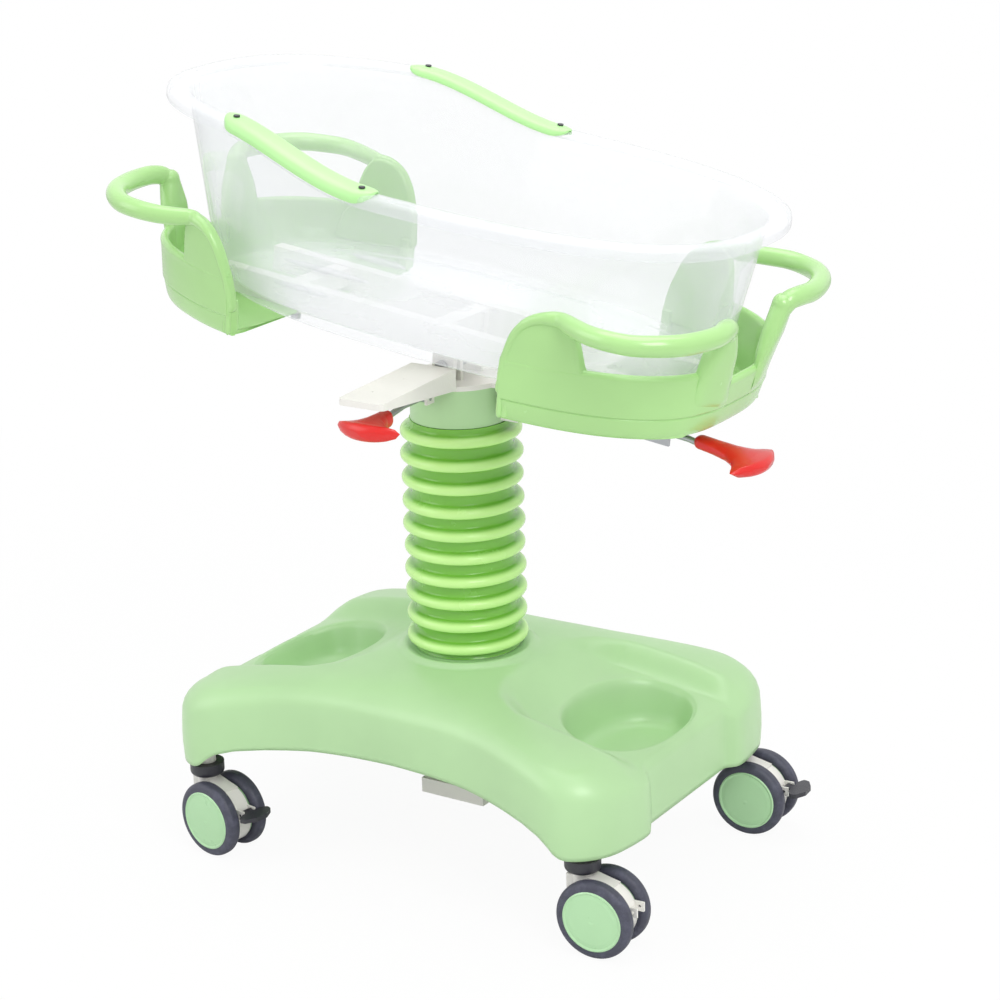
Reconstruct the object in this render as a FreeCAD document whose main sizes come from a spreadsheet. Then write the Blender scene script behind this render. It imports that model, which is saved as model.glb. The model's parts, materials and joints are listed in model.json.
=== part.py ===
"""Hospital bassinet: a clear tilting tub in two green cradles, on a lifting column and four twin castors.

Millimetres, +Z up. The head end lies towards -X, the foot end towards +X and the front towards -Y.
The origin is on the floor under the middle of the bounding box. The upper assembly is modelled level,
about its tilt pivot, and its Placement tilts it to the resting angle.
"""

import FreeCAD, Part
import math
import os

import Sketcher
from FreeCAD import Placement, Rotation, Vector

X_AXIS = Vector(1, 0, 0)
Y_AXIS = Vector(0, 1, 0)
Z_AXIS = Vector(0, 0, 1)

# ---------------------------------------------------------------- driving dimensions
SIZES = [
    # column and lift
    ("column_x", -21, "column axis, from the middle of the bounding box"),
    ("outer_tube_side", 70, "fixed square tube"),
    ("inner_tube_side", 60, "sliding square tube"),
    ("tube_wall", 3, "wall of both tubes"),
    ("outer_tube_bottom", 126, ""),
    ("outer_tube_top", 440, ""),
    ("inner_tube_bottom", 232, ""),
    ("guide_height", 40, "nylon guide in the mouth of the fixed tube"),
    ("guide_slack", 0.08, "running clearance of the guide, each side"),
    ("head_plate_bottom", 626, "underside of the column head"),
    ("head_plate_thickness", 6, ""),
    ("head_plate_radius", 63, ""),
    ("gas_cylinder_radius", 14, ""),
    ("gas_bore_radius", 11, ""),
    ("gas_cylinder_top", 376, ""),
    ("gas_rod_radius", 5, ""),
    ("gas_piston_bottom", 233, ""),
    ("gas_piston_height", 12, ""),
    ("collar_bottom", 578, ""),
    ("collar_radius", 64, ""),
    ("collar_wall", 3, ""),
    ("bellows_bottom", 272.5, ""),
    ("bellows_top", 577.5, ""),
    ("bellows_crest_radius", 78, ""),
    ("bellows_valley_radius", 66, ""),
    ("bellows_wall", 2.5, ""),
    ("bellows_rings", 10, ""),
    # base
    ("cover_wall", 4, "shell of the base cover"),
    ("deck_height", 272, "top of the base cover at the column"),
    ("deck_drop_end", 46, "fall of the crown from the column to each end"),
    ("deck_drop_side", 42, "fall of the crown from its middle to its front and back edges"),
    ("foot_bottom", 118, "underside of the four feet"),
    ("cover_end", 334, "half length of the cover at its feet"),
    ("cover_end_panel", 322, "half length of the recessed end panels"),
    ("cover_foot_y", 236, "half width of the cover at its feet"),
    ("cover_waist_y", 184, "half width of the cover at the column"),
    ("front_arch_height", 168, "lower edge of the front and back walls"),
    ("well_near", 162, "inner end of each well"),
    ("well_far", 316, "outer end of each well"),
    ("well_half_width", 100, ""),
    ("well_floor", 168, ""),
    ("deck_hole_radius", 70, "opening for the column"),
    ("deck_ring_radius", 88, "raised ring round the bellows"),
    ("leg_width", 36, "chassis leg"),
    ("leg_height", 20, ""),
    ("leg_bottom", 138, ""),
    ("leg_start", 60, "inner end of each leg, from the column axis"),
    ("plate_bottom", 126, "middle plate under the column"),
    ("plate_height", 20, ""),
    ("boss_radius", 12, "castor socket"),
    ("boss_top", 160, ""),
    ("carrier_x", 15, "middle of the cross channel under the chassis"),
    ("carrier_length", 95, ""),
    ("carrier_half_width", 72, ""),
    ("carrier_bottom", 80, ""),
    ("carrier_height", 20, ""),
    # castors
    ("castor_x", 288.5, "castor stems, from the column axis"),
    ("castor_y", 197, ""),
    ("castor_trail", 27, ""),
    ("wheel_radius", 50, "100 mm twin wheels"),
    ("wheel_width", 20, ""),
    ("wheel_gap", 26, "between the two wheels of a castor"),
    ("tyre_inner_radius", 39, ""),
    ("axle_radius", 4, ""),
    ("stem_radius", 5.5, ""),
    ("stem_top", 156, ""),
    ("stem_bottom", 66, ""),
    ("stem_cap_radius", 22.5, ""),
    ("stem_cap_bottom", 100, ""),
    ("stem_cap_top", 117, ""),
    ("neck_radius", 13.5, ""),
    ("running_fit", 0.06, "radial, for every turning pin"),
    ("pedal_pivot_x", 71, "from the stem"),
    ("pedal_pivot_z", 62, ""),
    # tilting frame
    ("tilt_z", 650, "height of the tilt pivot"),
    ("rest_tilt", 7.5, "degrees, head end up"),
    ("pivot_pin_radius", 8, ""),
    ("pivot_pin_length", 84, ""),
    ("lug_y", 20, "inner face of the column lugs"),
    ("lug_thickness", 6, ""),
    ("hanger_y", 28, "inner face of the tilting hangers"),
    ("hanger_thickness", 8, ""),
    ("rail_y", 46, "inner face of the rails"),
    ("rail_width", 18, ""),
    ("rail_wall", 2, ""),
    ("rail_bottom", 26.2, ""),
    ("rail_top", 62.7, ""),
    ("rail_half_length", 330, ""),
    # tilt gas spring
    ("spring_low_x", 85, "pin on the column head"),
    ("spring_low_z", 598, ""),
    ("spring_high_x", 285, "pin on the tilting frame, in the frame's own level coordinates"),
    ("spring_high_z", -8, ""),
    ("spring_radius", 11, ""),
    ("spring_bore_radius", 9, ""),
    ("spring_rod_radius", 4, ""),
    ("spring_cylinder_length", 112, ""),
    ("spring_pin_radius", 4, ""),
    ("spring_eye_slack", 2.6, "open pivot at the rod's eye"),
    # levers
    ("arm_root_y", 56, "front bracket, from the column axis"),
    ("arm_tip_y", 213, ""),
    ("arm_half_width", 33, ""),
    ("arm_top", 656, ""),
    ("arm_sheet", 3, ""),
    ("lift_lever_y", 82, "pivot of the height lever"),
    ("lift_lever_z", 622, ""),
    ("tilt_lever_x", 306, "pivot of the tilt lever, in level coordinates"),
    ("tilt_lever_z", -14, ""),
    ("lever_pin_radius", 3, ""),
    ("grip_thickness", 17, ""),
    # cradles
    ("cradle_inner_x", 190, "open inner edge"),
    ("cradle_end_x", 390, ""),
    ("cradle_half_width", 208, ""),
    ("cradle_bottom", 20, ""),
    ("cradle_wall_top", 100, ""),
    ("cradle_wall", 5, ""),
    ("cradle_floor", 6, ""),
    ("ear_top", 172, ""),
    ("ear_y", 197, "inner face of the ears"),
    ("ear_thickness", 15, ""),
    ("handle_radius", 11, ""),
    ("handle_height", 163, ""),
    # tub
    ("tub_bottom", 63, ""),
    ("tub_wall", 3.5, ""),
    ("tub_bottom_head", 343, "tub, from its middle to its head and foot ends"),
    ("tub_bottom_foot", 348, ""),
    ("tub_bottom_half_width", 172, ""),
    ("tub_top_head", 392, ""),
    ("tub_top_foot", 380, ""),
    ("tub_top_half_width", 204, ""),
    ("rim_head_height", 298, ""),
    ("rim_foot_height", 256, ""),
    ("rim_slope_start", -230, ""),
    ("rim_slope_end", -5, ""),
    ("rim_width", 28, "rim, out from the wall at the sides and at the ends"),
    ("rim_end_width", 22, ""),
    ("rim_lip", 12, ""),
    ("strip_start", -224, "grip strips on the side rims"),
    ("strip_thickness", 5, ""),
    ("strip_length", 228, ""),
]

doc = FreeCAD.newDocument("bassinet")
dims = doc.addObject("Spreadsheet::Sheet", "dims")
for row, (alias, value, meaning) in enumerate(SIZES, start=1):
    dims.set(f"A{row}", alias)
    dims.set(f"B{row}", str(value))
    dims.set(f"C{row}", meaning)
    dims.setAlias(f"B{row}", alias)
doc.recompute()

pieces = []


def size(alias):
    """A driving dimension, read from the sheet."""
    return float(dims.get(alias))


def bind(thing, **expressions):
    """Bind properties to expressions of the sheet; words in an expression that are aliases are looked up."""
    for name, expression in expressions.items():
        path = name.replace("__", ".")
        thing.setExpression(path, expression)


def keep(thing, label):
    """Name a sub-part, which is written to its own file."""
    thing.Label = label
    pieces.append(thing)
    return thing


def box(name, x, y, z, length, width, height):
    """A Part::Box from its lowest corner and its sides, all expressions of the sheet."""
    thing = doc.addObject("Part::Box", name)
    bind(thing, Length=length, Width=width, Height=height)
    bind(thing, Placement__Base__x=x, Placement__Base__y=y, Placement__Base__z=z)
    return thing


def rod(name, x, y, z, radius, length, axis=Z_AXIS):
    """A Part::Cylinder from the middle of its first face along an axis."""
    thing = doc.addObject("Part::Cylinder", name)
    bind(thing, Radius=radius, Height=length)
    thing.Placement.Rotation = Rotation(Z_AXIS, axis)
    bind(thing, Placement__Base__x=x, Placement__Base__y=y, Placement__Base__z=z)
    return thing


def fuse(name, shapes):
    thing = doc.addObject("Part::MultiFuse", name)
    thing.Shapes = shapes
    thing.Refine = True
    return thing


def group(name, shapes):
    """Separate solids that share a node."""
    thing = doc.addObject("Part::Compound", name)
    thing.Links = shapes
    return thing


def cut(name, base, tool):
    thing = doc.addObject("Part::Cut", name)
    thing.Base = base
    thing.Tool = tool
    thing.Refine = True
    return thing


def on_column(thing):
    """Place a sub-part that is modelled about the column axis."""
    bind(thing, Placement__Base__x="dims.column_x")
    return thing


def on_tilt(thing):
    """Place a sub-part that is modelled level about the tilt pivot."""
    thing.Placement = Placement(Vector(0, 0, 0), Rotation(Y_AXIS, size("rest_tilt")))
    bind(thing, Placement__Base__x="dims.column_x", Placement__Base__z="dims.tilt_z")
    bind(thing, Placement__Rotation__Angle="dims.rest_tilt")
    return thing


def feature(name, shape):
    """A sub-part whose shape is made with Part's own functions."""
    thing = doc.addObject("Part::Feature", name)
    thing.Shape = shape
    return thing


def origin_plane(body, role):
    return next(item for item in body.Origin.OriginFeatures if item.Role == role)


def outline(body, name, role, corners):
    """A closed sketch of straight edges; each corner is a pair of expressions of the sheet."""
    sketch = body.newObject("Sketcher::SketchObject", name)
    sketch.AttachmentSupport = [(origin_plane(body, role), "")]
    sketch.MapMode = "FlatFace"
    count = len(corners)
    spots = [Vector(evaluate(a), evaluate(b), 0) for a, b in corners]
    for index in range(count):
        sketch.addGeometry(Part.LineSegment(spots[index], spots[(index + 1) % count]), False)
    for index in range(count):
        sketch.addConstraint(Sketcher.Constraint("Coincident", index, 2, (index + 1) % count, 1))
    for index, (across, up) in enumerate(corners):
        for kind, expression, value in (
            ("DistanceX", across, spots[index].x),
            ("DistanceY", up, spots[index].y),
        ):
            number = sketch.addConstraint(Sketcher.Constraint(kind, -1, 1, index, 1, value))
            sketch.setExpression(f"Constraints[{number}]", expression)
    return sketch


def evaluate(expression):
    """The value of an expression of the sheet."""
    return float(dims.evalExpression(expression))


def padded(body, sketch, length, both_ways=False):
    pad = body.newObject("PartDesign::Pad", sketch.Name + "_pad")
    pad.Profile = sketch
    pad.setExpression("Length", length)
    pad.Midplane = both_ways
    sketch.Visibility = False
    return pad


def turned(name, corners):
    """A body turned about Z from an outline of (radius, height) expressions."""
    body = doc.addObject("PartDesign::Body", name)
    sketch = outline(body, name + "_profile", "XZ_Plane", corners)
    turn = body.newObject("PartDesign::Revolution", name + "_turn")
    turn.Profile = sketch
    turn.ReferenceAxis = (sketch, ["V_Axis"])
    turn.Angle = 360
    return body


def square_tube(name, side, wall, bottom, top):
    """A square tube as a padded sketch with a pocketed bore."""
    body = doc.addObject("PartDesign::Body", name)
    half = f"{side} / 2"
    inner = f"({side} / 2 - {wall})"
    outer_sketch = outline(body, name + "_outer", "XY_Plane", square(half))
    bind(outer_sketch, AttachmentOffset__Base__z=bottom)
    padded(body, outer_sketch, f"{top} - ({bottom})")
    bore_sketch = outline(body, name + "_inner", "XY_Plane", square(inner))
    bind(bore_sketch, AttachmentOffset__Base__z=bottom)
    bore = body.newObject("PartDesign::Pocket", name + "_bore")
    bore.Profile = bore_sketch
    bore.Reversed = True
    bore.setExpression("Length", f"{top} - ({bottom})")
    return body


def square(half):
    return [(f"-{half}", f"-{half}"), (half, f"-{half}"), (half, half), (f"-{half}", half)]


# ---------------------------------------------------------------- plain geometry helpers
def closed_face(points):
    """A face inside straight edges."""
    return Part.Face(Part.makePolygon([Vector(*spot) for spot in points + points[:1]]))


def smooth_loop(points):
    """A closed smooth curve through points, as a wire."""
    curve = Part.BSplineCurve()
    curve.interpolate([Vector(*spot) for spot in points], PeriodicFlag=True)
    return Part.Wire(curve.toShape())


def rounded_path(points, radius):
    """Straight runs joined by tangent arcs of one radius."""
    spots = [Vector(*spot) for spot in points]
    edges = []
    start = spots[0]
    for before, corner, after in zip(spots, spots[1:], spots[2:]):
        back = (before - corner).normalize()
        ahead = (after - corner).normalize()
        half_turn = (math.pi - back.getAngle(ahead)) / 2
        reach = radius * math.tan(half_turn)
        arc_start = corner + back * reach
        arc_end = corner + ahead * reach
        middle_way = (back + ahead).normalize()
        middle = corner + middle_way * (radius / math.cos(half_turn) - radius)
        edges.append(Part.LineSegment(start, arc_start).toShape())
        edges.append(Part.Arc(arc_start, middle, arc_end).toShape())
        start = arc_end
    edges.append(Part.LineSegment(start, spots[-1]).toShape())
    return Part.Wire(edges)


def tube_along(path, radius):
    """A round bar along a path."""
    first = path.Edges[0]
    direction = first.tangentAt(first.FirstParameter)
    start = first.valueAt(first.FirstParameter)
    ring = Part.Wire(Part.makeCircle(radius, start, direction))
    return path.makePipeShell([ring], True, True)


def mirrored_y(shape):
    return shape.mirror(Vector(0, 0, 0), Y_AXIS)


def superellipse(half_x, half_y, power, height, count=48):
    """Points of |x/a|^n + |y/b|^n = 1 at a height."""
    points = []
    for step in range(count):
        angle = 2 * math.pi * step / count
        cosine = math.cos(angle)
        sine = math.sin(angle)
        across = half_x * math.copysign(abs(cosine) ** (2 / power), cosine)
        along = half_y * math.copysign(abs(sine) ** (2 / power), sine)
        points.append((across, along, height))
    return points


# ---------------------------------------------------------------- base cover
def half_width(x):
    """Half width of the cover's plan: narrow at the column, wide over the castors."""
    reach = min(abs(x) / 285, 1)
    ease = reach * reach * (3 - 2 * reach)
    return size("cover_waist_y") + (size("cover_foot_y") - size("cover_waist_y")) * ease


def deck_middle(x):
    """Height of the crowned deck along the middle, with a rounded fall past the castors."""
    reach = x / size("cover_end_panel")
    past = max(abs(x) - 285, 0) / 50
    return size("deck_height") - size("deck_drop_end") * reach**2 - 46 * past**2


def crown_section(x, lower):
    """A cross-section of the crowned deck at one x: nearly flat, with a rounded fall at each edge."""
    middle = deck_middle(x) - lower
    width = half_width(x)
    fall = size("deck_drop_side")
    half = [(0, 0), (0.45, 0.08), (0.78, 0.34), (0.93, 0.66), (1.0, 1.0), (1.08, 1.75)]
    points = [(-across * width, middle - fall * drop) for across, drop in half[:0:-1]]
    points += [(across * width, middle - fall * drop) for across, drop in half]
    curve = Part.BSplineCurve()
    curve.interpolate([Vector(x, y, z) for y, z in points])
    first = Vector(x, *points[0])
    last = Vector(x, *points[-1])
    floor_first = Vector(x, first.y, 0)
    floor_last = Vector(x, last.y, 0)
    return Part.Wire(
        [
            curve.toShape(),
            Part.LineSegment(last, floor_last).toShape(),
            Part.LineSegment(floor_last, floor_first).toShape(),
            Part.LineSegment(floor_first, first).toShape(),
        ]
    )


CROWN_STATIONS = [-345, -312, -260, -130, 0, 130, 260, 312, 345]


def crown_solid(lower):
    """Everything under the crowned deck, lowered by a wall's thickness for the inside."""
    return Part.makeLoft([crown_section(x, lower) for x in CROWN_STATIONS], True, False)


def cover_outline(inset):
    """Plan of the base: a waist at the column and a rounded lobe over each castor."""
    end = size("cover_end") - inset
    panel = size("cover_end_panel") - inset
    foot = size("cover_foot_y") - inset
    waist = size("cover_waist_y") - inset
    quarter = [
        (0, waist),
        (100, waist + 6),
        (185, waist + 27),
        (245, foot - 5),
        (278, foot),
        (308, foot - 12),
        (end - 5, foot - 36),
        (end, foot - 66),
        (panel + 1, foot - 100),
        (panel, foot - 160),
        (panel, 0),
    ]
    half = quarter + [(x, -y) for x, y in quarter[-2::-1]]
    points = half + [(-x, y) for x, y in half[-2:0:-1]]
    return smooth_loop([(x, y, 0) for x, y in points])


def prism(wire, direction):
    return Part.Face(wire).extrude(direction)


def cover_body(inset):
    column = prism(cover_outline(inset), Vector(0, 0, size("deck_height") + 20))
    body = crown_solid(inset).common(column)
    return body.cut(end_step(1, inset)).cut(end_step(-1, inset))


END_STEP = [(96, 60, 272), (122, 92, 252), (162, 112, 234), (240, 118, 222), (312, 120, 211), (345, 122, 204)]


def end_step(side, lower):
    """What is cut away above an end panel, which is sunk below the front and back arches, with leaning sides."""
    top = size("deck_height") + 20
    sections = []
    for x, half, height in END_STEP:
        low = height - lower
        half_y = half + lower
        lean = half_y + (top - low) * 0.45
        corners = [(-half_y, low), (half_y, low), (lean, top), (-lean, top), (-half_y, low)]
        sections.append(Part.makePolygon([Vector(side * x, y, z) for y, z in corners]))
    return Part.makeLoft(sections, True, False)


def front_arch():
    """The opening under the front and back walls, between the feet."""
    top = size("front_arch_height")
    foot = size("foot_bottom")
    half = [(0, top), (120, top - 0.5), (180, top - 2), (220, top - 8), (246, top - 19), (266, foot + 18)]
    half += [(280, foot), (290, foot - 24)]
    points = [(-x, z) for x, z in half[:0:-1]] + half
    curve = Part.BSplineCurve()
    curve.interpolate([Vector(x, -300, z) for x, z in points])
    first_x, first_z = points[0]
    last_x, last_z = points[-1]
    close = Part.LineSegment(Vector(last_x, -300, last_z), Vector(first_x, -300, first_z))
    return prism(Part.Wire([curve.toShape(), close.toShape()]), Vector(0, 600, 0))


def well_loop(side, inset, height):
    """Plan of a well: a soft-cornered loop, a little narrower beside the column."""
    middle = (size("well_near") + size("well_far")) / 2
    half_x = (size("well_far") - size("well_near")) / 2 - inset
    half_y = size("well_half_width") - inset
    points = []
    for across, along, _ in superellipse(half_x, half_y, 2.7, height, 32):
        narrowing = 1 + 0.12 * across / half_x
        points.append((side * (middle + across), along * narrowing, height))
    return smooth_loop(points)


def well_solid(side, inset):
    """A well tapering down to its floor."""
    top = well_loop(side, inset - 6, size("deck_height") + 10)
    floor = well_loop(side, inset + 12, size("well_floor") + inset)
    return Part.makeLoft([top, floor], True, False)


def base_cover():
    wall = size("cover_wall")
    outer = cover_body(0)
    inner = cover_body(wall)
    inner = inner.cut(Part.makeBox(800, 600, 50, Vector(-400, -300, -40)))
    shell = outer.cut(inner)
    for side in (1, -1):
        shell = shell.fuse(well_solid(side, -wall).common(outer))
    for side in (1, -1):
        shell = shell.cut(well_solid(side, 0))
    deck = size("deck_height")
    ring = Part.makeCylinder(size("deck_ring_radius"), 30, Vector(0, 0, deck - 30.5), Z_AXIS)
    shell = shell.fuse(ring)
    shell = shell.cut(Part.makeCylinder(size("deck_hole_radius"), 60, Vector(0, 0, deck - 40), Z_AXIS))
    shell = shell.cut(Part.makeBox(800, 600, size("foot_bottom"), Vector(-400, -300, 0)))
    shell = shell.cut(front_arch())
    return shell.removeSplitter()


keep(on_column(feature("base_cover", base_cover())), "base_cover")


# ---------------------------------------------------------------- chassis and column
def chassis():
    """Four legs from a middle plate to the castor sockets, and a cross channel below the plate."""
    reach = "sqrt(dims.castor_x ^ 2 + dims.castor_y ^ 2)"
    members = [
        box("middle_plate", "-70", "-58", "dims.plate_bottom", "140", "116", "dims.plate_height"),
    ]
    sockets = []
    for number, (x, y) in enumerate([(-1, -1), (1, -1), (-1, 1), (1, 1)]):
        length = f"{reach} - dims.leg_start"
        leg = box(f"leg_{number}", "0", "0", "dims.leg_bottom", length, "dims.leg_width", "dims.leg_height")
        turn = math.atan2(y * size("castor_y"), x * size("castor_x"))
        leg.Placement.Rotation = Rotation(Z_AXIS, math.degrees(turn))
        sine = f"{math.sin(turn):.6f}"
        cosine = f"{math.cos(turn):.6f}"
        bind(leg, Placement__Base__x=f"dims.leg_start * {cosine} + dims.leg_width / 2 * {sine}")
        bind(leg, Placement__Base__y=f"dims.leg_start * {sine} - dims.leg_width / 2 * {cosine}")
        boss_x = f"{x} * dims.castor_x"
        boss_y = f"{y} * dims.castor_y"
        boss = rod(
            f"boss_{number}", boss_x, boss_y, "dims.stem_cap_top + 0.5",
            "dims.boss_radius", "dims.boss_top - dims.stem_cap_top - 0.5",
        )
        members += [leg, boss]
        sockets.append(
            rod(
                f"socket_{number}", boss_x, boss_y, "dims.plate_bottom - 30", "dims.stem_radius",
                "dims.stem_top - dims.plate_bottom + 30",
            )
        )
    channel = box(
        "cross_channel", "dims.carrier_x - dims.carrier_length / 2", "-dims.carrier_half_width",
        "dims.carrier_bottom", "dims.carrier_length", "2 * dims.carrier_half_width", "dims.carrier_height",
    )
    hollow = box(
        "channel_hollow", "dims.carrier_x - dims.carrier_length / 2 + 3", "-dims.carrier_half_width + 3",
        "dims.carrier_bottom + 3", "dims.carrier_length - 6", "2 * dims.carrier_half_width",
        "dims.carrier_height - 6",
    )
    post = box(
        "channel_post", "dims.carrier_x - 25", "-30", "dims.carrier_bottom + dims.carrier_height - 1",
        "50", "60", "dims.plate_bottom - dims.carrier_bottom - dims.carrier_height + 2",
    )
    frame = fuse("chassis_frame", members + [cut("channel_open", channel, hollow), post])
    return cut("base_chassis", frame, fuse("sockets", sockets))


keep(on_column(chassis()), "base_chassis")

channel_bolts = group(
    "channel_bolts",
    [
        rod(
            f"channel_bolt_{number}", x, "-dims.carrier_half_width + 14", "dims.carrier_bottom - 3.5",
            "6", "3.5",
        )
        for number, x in enumerate(["dims.carrier_x - 30", "dims.carrier_x + 30"])
    ],
)
keep(on_column(channel_bolts), "channel_bolts")

outer_tube = square_tube(
    "column_outer_tube", "dims.outer_tube_side", "dims.tube_wall",
    "dims.plate_bottom + dims.plate_height", "dims.outer_tube_top",
)
keep(on_column(outer_tube), "column_outer_tube")

guide = square_tube(
    "column_guide", "(dims.outer_tube_side - 2 * dims.tube_wall)",
    "((dims.outer_tube_side - dims.inner_tube_side) / 2 - dims.tube_wall - dims.guide_slack)",
    "dims.outer_tube_top - dims.guide_height", "dims.outer_tube_top",
)
keep(on_column(guide), "column_guide")

inner_tube = square_tube(
    "column_inner_tube", "dims.inner_tube_side", "dims.tube_wall",
    "dims.inner_tube_bottom", "dims.head_plate_bottom",
)
keep(on_column(inner_tube), "column_inner_tube")

gas_bottom = "dims.plate_bottom + dims.plate_height"
gas_cylinder = turned(
    "lift_gas_cylinder",
    [
        ("0", gas_bottom),
        ("dims.gas_cylinder_radius", gas_bottom),
        ("dims.gas_cylinder_radius", "dims.gas_cylinder_top"),
        ("dims.gas_rod_radius + dims.running_fit", "dims.gas_cylinder_top"),
        ("dims.gas_rod_radius + dims.running_fit", "dims.gas_cylinder_top - 8"),
        ("dims.gas_bore_radius", "dims.gas_cylinder_top - 8"),
        ("dims.gas_bore_radius", f"{gas_bottom} + 4"),
        ("0", f"{gas_bottom} + 4"),
    ],
)
keep(on_column(gas_cylinder), "lift_gas_cylinder")

piston_top = "dims.gas_piston_bottom + dims.gas_piston_height"
gas_rod = turned(
    "lift_gas_rod",
    [
        ("0", "dims.gas_piston_bottom"),
        ("dims.gas_bore_radius - dims.running_fit", "dims.gas_piston_bottom"),
        ("dims.gas_bore_radius - dims.running_fit", piston_top),
        ("dims.gas_rod_radius", piston_top),
        ("dims.gas_rod_radius", "dims.head_plate_bottom"),
        ("0", "dims.head_plate_bottom"),
    ],
)
keep(on_column(gas_rod), "lift_gas_rod")


def bellows_profile():
    """Half-round folds: each ring swells to the crest and returns to the valley, then back up the inside."""
    rings = int(size("bellows_rings"))
    pitch = (size("bellows_top") - size("bellows_bottom")) / rings
    crest = size("bellows_crest_radius")
    valley = size("bellows_valley_radius")
    wall = size("bellows_wall")
    edges = []
    for inset in (0, wall):
        for ring in range(rings):
            low = size("bellows_bottom") + ring * pitch
            start = Vector(valley - inset, 0, low)
            swell = Vector(crest - inset, 0, low + pitch / 2)
            finish = Vector(valley - inset, 0, low + pitch)
            edges.append(Part.Arc(start, swell, finish).toShape())
    for height in (size("bellows_bottom"), size("bellows_top")):
        edges.append(Part.LineSegment(Vector(valley, 0, height), Vector(valley - wall, 0, height)).toShape())
    return Part.Face(Part.Wire(Part.__sortEdges__(edges)))


bellows = feature("bellows", bellows_profile().revolve(Vector(0, 0, 0), Z_AXIS, 360))
keep(on_column(bellows), "bellows")

collar = turned(
    "column_collar",
    [
        ("dims.collar_radius - dims.collar_wall", "dims.collar_bottom"),
        ("dims.collar_radius", "dims.collar_bottom"),
        ("dims.collar_radius - 1.5", "dims.head_plate_bottom"),
        ("dims.collar_radius - dims.collar_wall - 1.5", "dims.head_plate_bottom"),
    ],
)
keep(on_column(collar), "column_collar")


def column_head():
    """Round plate with two pivot lugs, and a hanger for the lower pin of the tilt gas spring."""
    plate_top = "dims.head_plate_bottom + dims.head_plate_thickness"
    thickness = "dims.head_plate_thickness"
    plate = rod("head_plate", "0", "0", "dims.head_plate_bottom", "dims.head_plate_radius", thickness)
    solids = [plate]
    for number, side in enumerate(("-dims.lug_y - dims.lug_thickness", "dims.lug_y")):
        solids.append(
            box(
                f"pivot_lug_{number}", "-20", side, "dims.head_plate_bottom + 1",
                "40", "dims.lug_thickness", "dims.tilt_z - dims.head_plate_bottom + 13",
            )
        )
    solids.append(
        box(
            "spring_beam", "40", "-19", "dims.head_plate_bottom",
            "dims.spring_low_x - 28", "38", "dims.head_plate_thickness",
        )
    )
    for number, side in enumerate(("-19", "14")):
        solids.append(
            box(
                f"spring_cheek_{number}", "dims.spring_low_x - 12", side, "dims.spring_low_z - 12",
                "24", "5", f"{plate_top} - dims.spring_low_z + 12",
            )
        )
    solids.append(box("arm_upright", "-24", "-dims.arm_root_y", f"{plate_top} - 3", "48", "6", "22"))
    bores = fuse(
        "head_bores",
        [
            rod("pivot_bore", "0", "-40", "dims.tilt_z", "dims.pivot_pin_radius", "80", Y_AXIS),
            rod(
                "spring_bore", "dims.spring_low_x", "-30", "dims.spring_low_z",
                "dims.spring_pin_radius", "60", Y_AXIS,
            ),
        ],
    )
    return cut("column_head", fuse("head_body", solids), bores)


keep(on_column(column_head()), "column_head")

pivot_pin = rod(
    "tilt_pivot_pin", "dims.column_x", "-dims.pivot_pin_length / 2", "dims.tilt_z",
    "dims.pivot_pin_radius", "dims.pivot_pin_length", Y_AXIS,
)
keep(pivot_pin, "tilt_pivot_pin")

spring_pin = rod(
    "tilt_spring_pin", "dims.column_x + dims.spring_low_x", "-21", "dims.spring_low_z",
    "dims.spring_pin_radius", "42", Y_AXIS,
)
keep(spring_pin, "tilt_spring_pin")


# ---------------------------------------------------------------- tilt gas spring
def tilted_point(x, z):
    """Where a point of the level tilting frame lies at the resting tilt, from the column axis."""
    angle = math.radians(size("rest_tilt"))
    across = x * math.cos(angle) + z * math.sin(angle)
    up = size("tilt_z") - x * math.sin(angle) + z * math.cos(angle)
    return Vector(across, 0, up)


spring_low = Vector(size("spring_low_x"), 0, size("spring_low_z"))
spring_high = tilted_point(size("spring_high_x"), size("spring_high_z"))
spring_line = spring_high - spring_low
spring_turn = Rotation(X_AXIS, spring_line)


def along_spring(thing):
    """Place a piece that is modelled along +X from the lower pin."""
    thing.Placement = Placement(spring_low + Vector(size("column_x"), 0, 0), spring_turn)
    return thing


def tilt_gas_cylinder():
    """Hollow cylinder with an eye on the lower pin."""
    eye = Part.makeCylinder(9, 20, Vector(0, -10, 0), Y_AXIS)
    length = size("spring_cylinder_length")
    barrel = Part.makeCylinder(size("spring_radius"), length, Vector(14, 0, 0), X_AXIS)
    neck = Part.makeBox(18, 16, 14, Vector(0, -8, -7))
    body = eye.fuse([barrel, neck])
    pin = size("spring_pin_radius") + size("running_fit")
    body = body.cut(Part.makeCylinder(pin, 30, Vector(0, -15, 0), Y_AXIS))
    body = body.cut(Part.makeCylinder(size("spring_bore_radius"), length - 14, Vector(22, 0, 0), X_AXIS))
    throat = size("spring_rod_radius") + size("running_fit")
    return body.cut(Part.makeCylinder(throat, 30, Vector(length, 0, 0), X_AXIS)).removeSplitter()


def tilt_gas_rod():
    """Rod with a piston, ending in a wide eye round the upper pin."""
    eye_bore = size("spring_pin_radius") + size("spring_eye_slack")
    reach = spring_line.Length
    eye = Part.makeCylinder(eye_bore + 4, 18, Vector(reach, -9, 0), Y_AXIS)
    start = size("spring_cylinder_length") - 30
    shaft = Part.makeCylinder(size("spring_rod_radius"), reach - start - 6, Vector(start, 0, 0), X_AXIS)
    piston_radius = size("spring_bore_radius") - size("running_fit")
    piston = Part.makeCylinder(piston_radius, 8, Vector(start, 0, 0), X_AXIS)
    body = eye.fuse([shaft, piston])
    return body.cut(Part.makeCylinder(eye_bore, 30, Vector(reach, -15, 0), Y_AXIS)).removeSplitter()


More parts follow.
